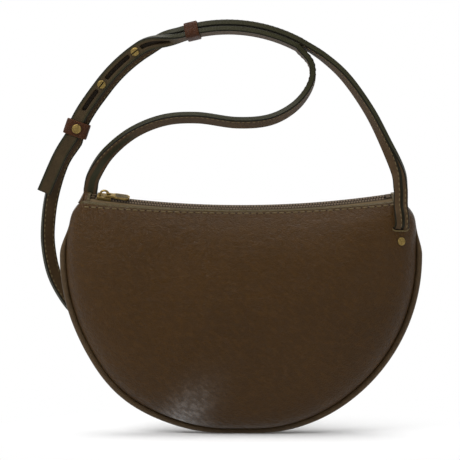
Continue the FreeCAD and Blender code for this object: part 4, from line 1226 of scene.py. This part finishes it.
class BAG_OT_keepers(bpy.types.Operator):
    """Plain sliding keeper and riveted keeper"""

    bl_idname = "bag.keepers"
    bl_label = "Keepers"

    def execute(self, context):
        for name, body, angle, length, extra in (
                ("sliding_keeper", "keeper", KEEPER_ANGLE, 10, 0),
                ("riveted_keeper", "strap", RIVETED_KEEPER_ANGLE, 11.5, 4.6)):
            piece = keeper_loop(name + "_leather", pair_frames(angle), length, STRAP_WIDTH + extra)
            ride_on(piece, body, "keeper_leather", name)
        return {"FINISHED"}


# Fittings

BRASS_NODES = (
    "zip_slider", "zip_pull", "front_rivet_cap", "rear_rivet_cap", "upper_adjuster_screw",
    "lower_adjuster_screw", "upper_screw_post", "lower_screw_post", "keeper_rivet_cap")
STOP_NODES = ("zip_top_stops", "zip_bottom_stop")
SHARP_ANGLE = math.radians(28)
POST_RADIUS = 1.25
KEEPER_HEAD = 3.55
ANCHOR_HEAD = 3.1
PLATE_THICKNESS = 0.12
SCREW_SLOT_LEVEL = STRAP_THICKNESS / 2 + 0.86
SCREW_SLOT = [[-3.1, -0.43], [3.1, -0.43], [3.1, 0.43], [-3.1, 0.43]]
PULL_FACE = [
    [8.2, -2.1], [9.6, -2.9], [16.6, -2.9], [18.1, -1.4], [18.1, 1.4], [16.6, 2.9], [9.6, 2.9], [8.2, 2.1]]


def rivet_outline(head, depth, rise):
    """Radius and height of a rivet: a straight post, then a flat head with a rounded, raised rim."""
    return [
        (POST_RADIUS, -depth), (POST_RADIUS, 0.05), (head, 0.05), (head, 0.45),
        (head - 0.08, rise - 0.2), (head - 0.3, rise), (head - 0.6, rise + 0.05),
        (head - 0.85, rise - 0.03), (head - 1.0, rise - 0.06), (0.02, rise - 0.06)]


def flat_plate(name, place, across, out, outline, look):
    """Thin plate: an outline along and across, at two levels out of its place."""
    outline = np.asarray(outline, float)
    flat = place + outline[:, :1] * np.cross(across, out) + outline[:, 1:] * across
    return tube_mesh(name, np.stack([flat + out * PLATE_THICKNESS, flat]), look, False)


class BAG_OT_fittings(bpy.types.Operator):
    """Brass rivets, screws, slider and pull, and the zip's stops"""

    bl_idname = "bag.fittings"
    bl_label = "Fittings"

    def execute(self, context):
        for look, names in (("brass", BRASS_NODES), ("stop", STOP_NODES)):
            for name in names:
                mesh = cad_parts[name].data
                mesh.materials.clear()
                mesh.materials.append(FINISHES[look])
                mesh.set_sharp_from_angle(angle=SHARP_ANGLE)
        stack = STRAP_THICKNESS + STRAP_GAP / 2 + KEEPER_ROOM / 2 + KEEPER_WALL
        seat = pair_frames(RIVETED_KEEPER_ANGLE)
        seat[0] += seat[2] * stack
        piece = turned("keeper_rivet_head", seat, rivet_outline(KEEPER_HEAD, 2 * stack + 0.4, 1.35))
        ride_on(piece, "strap", "brass", "keeper_rivet")
        for side, name in ((-1, "front"), (1, "rear")):
            place = panel_place(side, RIVET_X[side], HINGE_Z - ANCHOR_DROP - RIVET_DROP)
            normal = panel_normal(side, *place)
            seat = np.stack([panel_point(side, *place), unit(np.cross(normal, UP)), normal])
            piece = turned(name + "_rivet_head", seat, rivet_outline(ANCHOR_HEAD, 5.0, 0.85))
            ride_on(piece, "bag", "brass", name + "_anchor_rivet")
        for name, angle in SCREW_ANGLES.items():
            centre, width, depth = strand_frames(angle, 1)
            place = centre + depth * SCREW_SLOT_LEVEL
            # Screw slot: a thin dark plate of painted shade
            piece = flat_plate(name + "_screw_slot", place, width, depth, SCREW_SLOT, "hole")
            ride_on(piece, "strap", "brass")
        place, across, out = zip_frame(SLIDER_REST)
        piece = flat_plate("zip_pull_inlay", place + out * PULL_TOP, across, out, PULL_FACE, "inlay")
        ride_on(piece, "pull", "brass")
        return {"FINISHED"}


# Sewing of the mouth and the strap slots

MOUTH_SEWN = 0.955
MOUTH_STITCH_SHARE = 0.82
HOLE_LIFT = 0.06
# Edges of the strap slots: name, finish, half length, drop below the slot, lift and radius; the opening is a
# dark tube of painted shade
SLOT_EDGES = (("lip", "lip", 6.6, 1.2, 0.15, 0.55), ("opening", "hole", 6.3, -0.3, -0.35, 0.95))


def needle_holes(name, points, runs, outs, radius):
    """Dark octagons of painted shade that lie on the leather in place of the holes: eight points round each
    hole in the plane of its run.
    """
    rings = (points + outs * HOLE_LIFT)[:, None] + radius * ring_of(8, runs, np.cross(outs, runs))
    faces = np.arange(8 * len(points)).reshape(-1, 8)
    return add_mesh(name, rings, faces.tolist(), ["hole"])


def surface_tube(side, x, z, lift, radius):
    """Rings of a tube that follows points x, z on a panel, lifted along its outward direction."""
    place = panel_place(side, x, z)
    outs = panel_normal(side, *place)
    line = panel_point(side, *place) + outs * lift
    runs = unit(np.gradient(line, axis=0))
    return line[:, None] + np.reshape(radius, (-1, 1, 1)) * ring_of(12, np.cross(runs, outs), outs)


class BAG_OT_sewing(bpy.types.Operator):
    """Stitches with their holes along both mouth edges, and the lips and openings of the strap slots; the
    holes and openings are dark, painted shade
    """

    bl_idname = "bag.sewing"
    bl_label = "Mouth sewing"

    def execute(self, context):
        for side, name in ((-1, "front_mouth"), (1, "back_mouth")):
            self.sew_mouth(side, name, context.scene.bag_sewing)
        share = np.linspace(-1, 1, 33)
        ends = np.sqrt(np.maximum(0.02, 1 - share ** 6))
        for side, name in ((-1, "front"), (1, "rear")):
            for what, look, half, drop, lift, radius in SLOT_EDGES:
                x = hinge_spot(side)[0] + half * share
                z = HINGE_Z - ANCHOR_DROP - drop + 2.0 * share ** 6
                rings = surface_tube(side, x, z, lift, radius * ends)
                piece = tube_mesh("%s_slot_%s" % (name, what), rings, look)
                ride_on(piece, "bag", "bag_leather")
        return {"FINISHED"}

    def sew_mouth(self, side, name, sewing):
        """Row of stitches along a mouth edge, with a needle hole between every two."""
        part = np.linspace(-MOUTH_SEWN, MOUTH_SEWN, 1200)
        step = 0.02
        below = panel_point(side, part, step) - panel_point(side, part, 0.0)
        inset = rim_width(part) + sewing.mouth_inset
        way = step * inset / np.linalg.norm(below, axis=1)
        line = panel_point(side, part, way)
        for start, what in ((0, "thread"), (sewing.mouth_pitch / 2, "holes")):
            points, runs, index = along_line(line, sewing.mouth_pitch, start)
            close = np.round(index).astype(int)
            outs = panel_normal(side, part[close], way[close])
            if what == "thread":
                piece = stitches(name + "_thread", points, runs, outs,
                                 sewing.mouth_pitch * MOUTH_STITCH_SHARE, sewing.mouth_thread)
            else:
                piece = needle_holes(name + "_holes", points, runs, outs, sewing.mouth_thread)
            ride_on(piece, "bag", "bag_leather")


# Floor in millimetres, lamps and camera in metres

# Lamps: name, place, aim, size and power
LAMPS = (
    ("key_lamp", (-0.9, -1.0, 1.2), (0, 0, 0.12), 0.9, 19),
    ("fill_lamp", (1.0, -1.0, 0.8), (0, 0, 0.12), 0.9, 3),
    ("top_lamp", (0.0, 0.1, 1.4), (0, 0, 0.1), 1.0, 15.5),
)
FLOOR_HALF = 6000.0
FLOOR_Z = -0.05
SENSOR = 36.0
PHOTO_WIDTH = 460 * 0.75 * MM
CAMERA_DISTANCE = 1.8
CAMERA_X = -0.00825
CAMERA_Z = 0.2
AIM_Z = 0.15285


def add_aimed(name, data, place, aim):
    """New lamp or camera at a place with its -Z axis towards the aim."""
    holder = bpy.data.objects.new(name, data)
    bpy.context.scene.collection.objects.link(holder)
    place = np.asarray(place, float)
    back = unit(place - np.asarray(aim, float))
    right = unit(np.cross(vec(0, 0.001, 1), back))
    above = np.cross(back, right)
    matrix = np.eye(4)
    matrix[:3, :] = np.stack([right, above, back, place], axis=1)
    holder.matrix_world = matrix.T.tolist()
    return holder


def studio_world():
    """White for the camera, dim for the leather, and for mirrors bright behind the bag and overhead."""
    world = bpy.data.worlds.new("studio_world")
    world.use_nodes = True
    world.node_tree.nodes.clear()
    sky = Ink(world.node_tree)
    direction = sky.node("ShaderNodeTexCoord", output="Generated")
    forwards = sky.node("ShaderNodeSeparateXYZ", None, {0: direction}, "Y")
    upwards = sky.node("ShaderNodeSeparateXYZ", None, {0: direction}, "Z")
    backdrop = sky.maths("MAXIMUM", forwards.between(-0.5, 0.2), upwards.between(0.55, 0.95))
    camera_rays, mirror_rays = seen_rays(sky)
    strength = 0.35 + camera_rays * 0.65 + mirror_rays * (backdrop * 0.95 - 0.3)
    light = sky.node("ShaderNodeBackground", None, {"Color": (1, 1, 1, 1), "Strength": strength})
    shown(sky, light, "ShaderNodeOutputWorld")
    return world


class BAG_OT_stage(bpy.types.Operator):
    """White floor, soft lamps and the camera"""

    bl_idname = "bag.stage"
    bl_label = "Stage"

    def execute(self, context):
        scene = context.scene
        scene.view_settings.view_transform = "Standard"
        corners = vec([-1, 1, 1, -1], [-1, -1, 1, 1], 0) * FLOOR_HALF + vec(0, 0, FLOOR_Z)
        floor = add_mesh("studio_floor", corners, [[0, 1, 2, 3]], ["floor"])
        scene.world = studio_world()
        for name, place, aim, size, power in LAMPS:
            lamp = bpy.data.lights.new(name, "AREA")
            lamp.energy = power
            lamp.size = size
            add_aimed(name, lamp, place, aim)
        lens = bpy.data.cameras.new("camera")
        lens.sensor_width = SENSOR
        lens.lens = SENSOR * CAMERA_DISTANCE / PHOTO_WIDTH
        lens.clip_end = 50
        place = (CAMERA_X, -CAMERA_DISTANCE, CAMERA_Z)
        scene.camera = add_aimed("camera", lens, place, (CAMERA_X, 0, AIM_Z))
        return {"FINISHED"}


class BAG_PT_panel(bpy.types.Panel):
    """Lists the bag's pieces and settings"""

    bl_idname = "BAG_PT_panel"
    bl_label = "Half Moon Bag"
    bl_space_type = "VIEW_3D"
    bl_region_type = "UI"
    bl_category = "Bag"

    def draw(self, context):
        for maker in MAKERS:
            self.layout.operator(maker.bl_idname)
        for group in (context.scene.bag_finish, context.scene.bag_sewing):
            for key in group.__annotations__:
                self.layout.prop(group, key)


MAKERS = (BAG_OT_panels, BAG_OT_piping, BAG_OT_zip, BAG_OT_straps, BAG_OT_keepers, BAG_OT_fittings,
          BAG_OT_sewing, BAG_OT_stage)


def register():
    """Adds the settings, the operators and the panel to Blender."""
    for item in (BagFinish, BagSewing, *MAKERS, BAG_PT_panel):
        bpy.utils.register_class(item)
    bpy.types.Scene.bag_finish = PointerProperty(type=BagFinish)
    bpy.types.Scene.bag_sewing = PointerProperty(type=BagSewing)


def unregister():
    """Takes them out again."""
    del bpy.types.Scene.bag_finish
    del bpy.types.Scene.bag_sewing
    for item in (BAG_PT_panel, *MAKERS[::-1], BagSewing, BagFinish):
        bpy.utils.unregister_class(item)


def main():
    """Builds every piece in order."""
    register()
    FINISHES.update(finishes())
    bpy.ops.bag.panels()
    bpy.ops.bag.piping()
    bpy.ops.bag.zip()
    bpy.ops.bag.straps()
    bpy.ops.bag.keepers()
    bpy.ops.bag.fittings()
    bpy.ops.bag.sewing()
    bpy.ops.bag.stage()


if __name__ == "__main__":
    main()
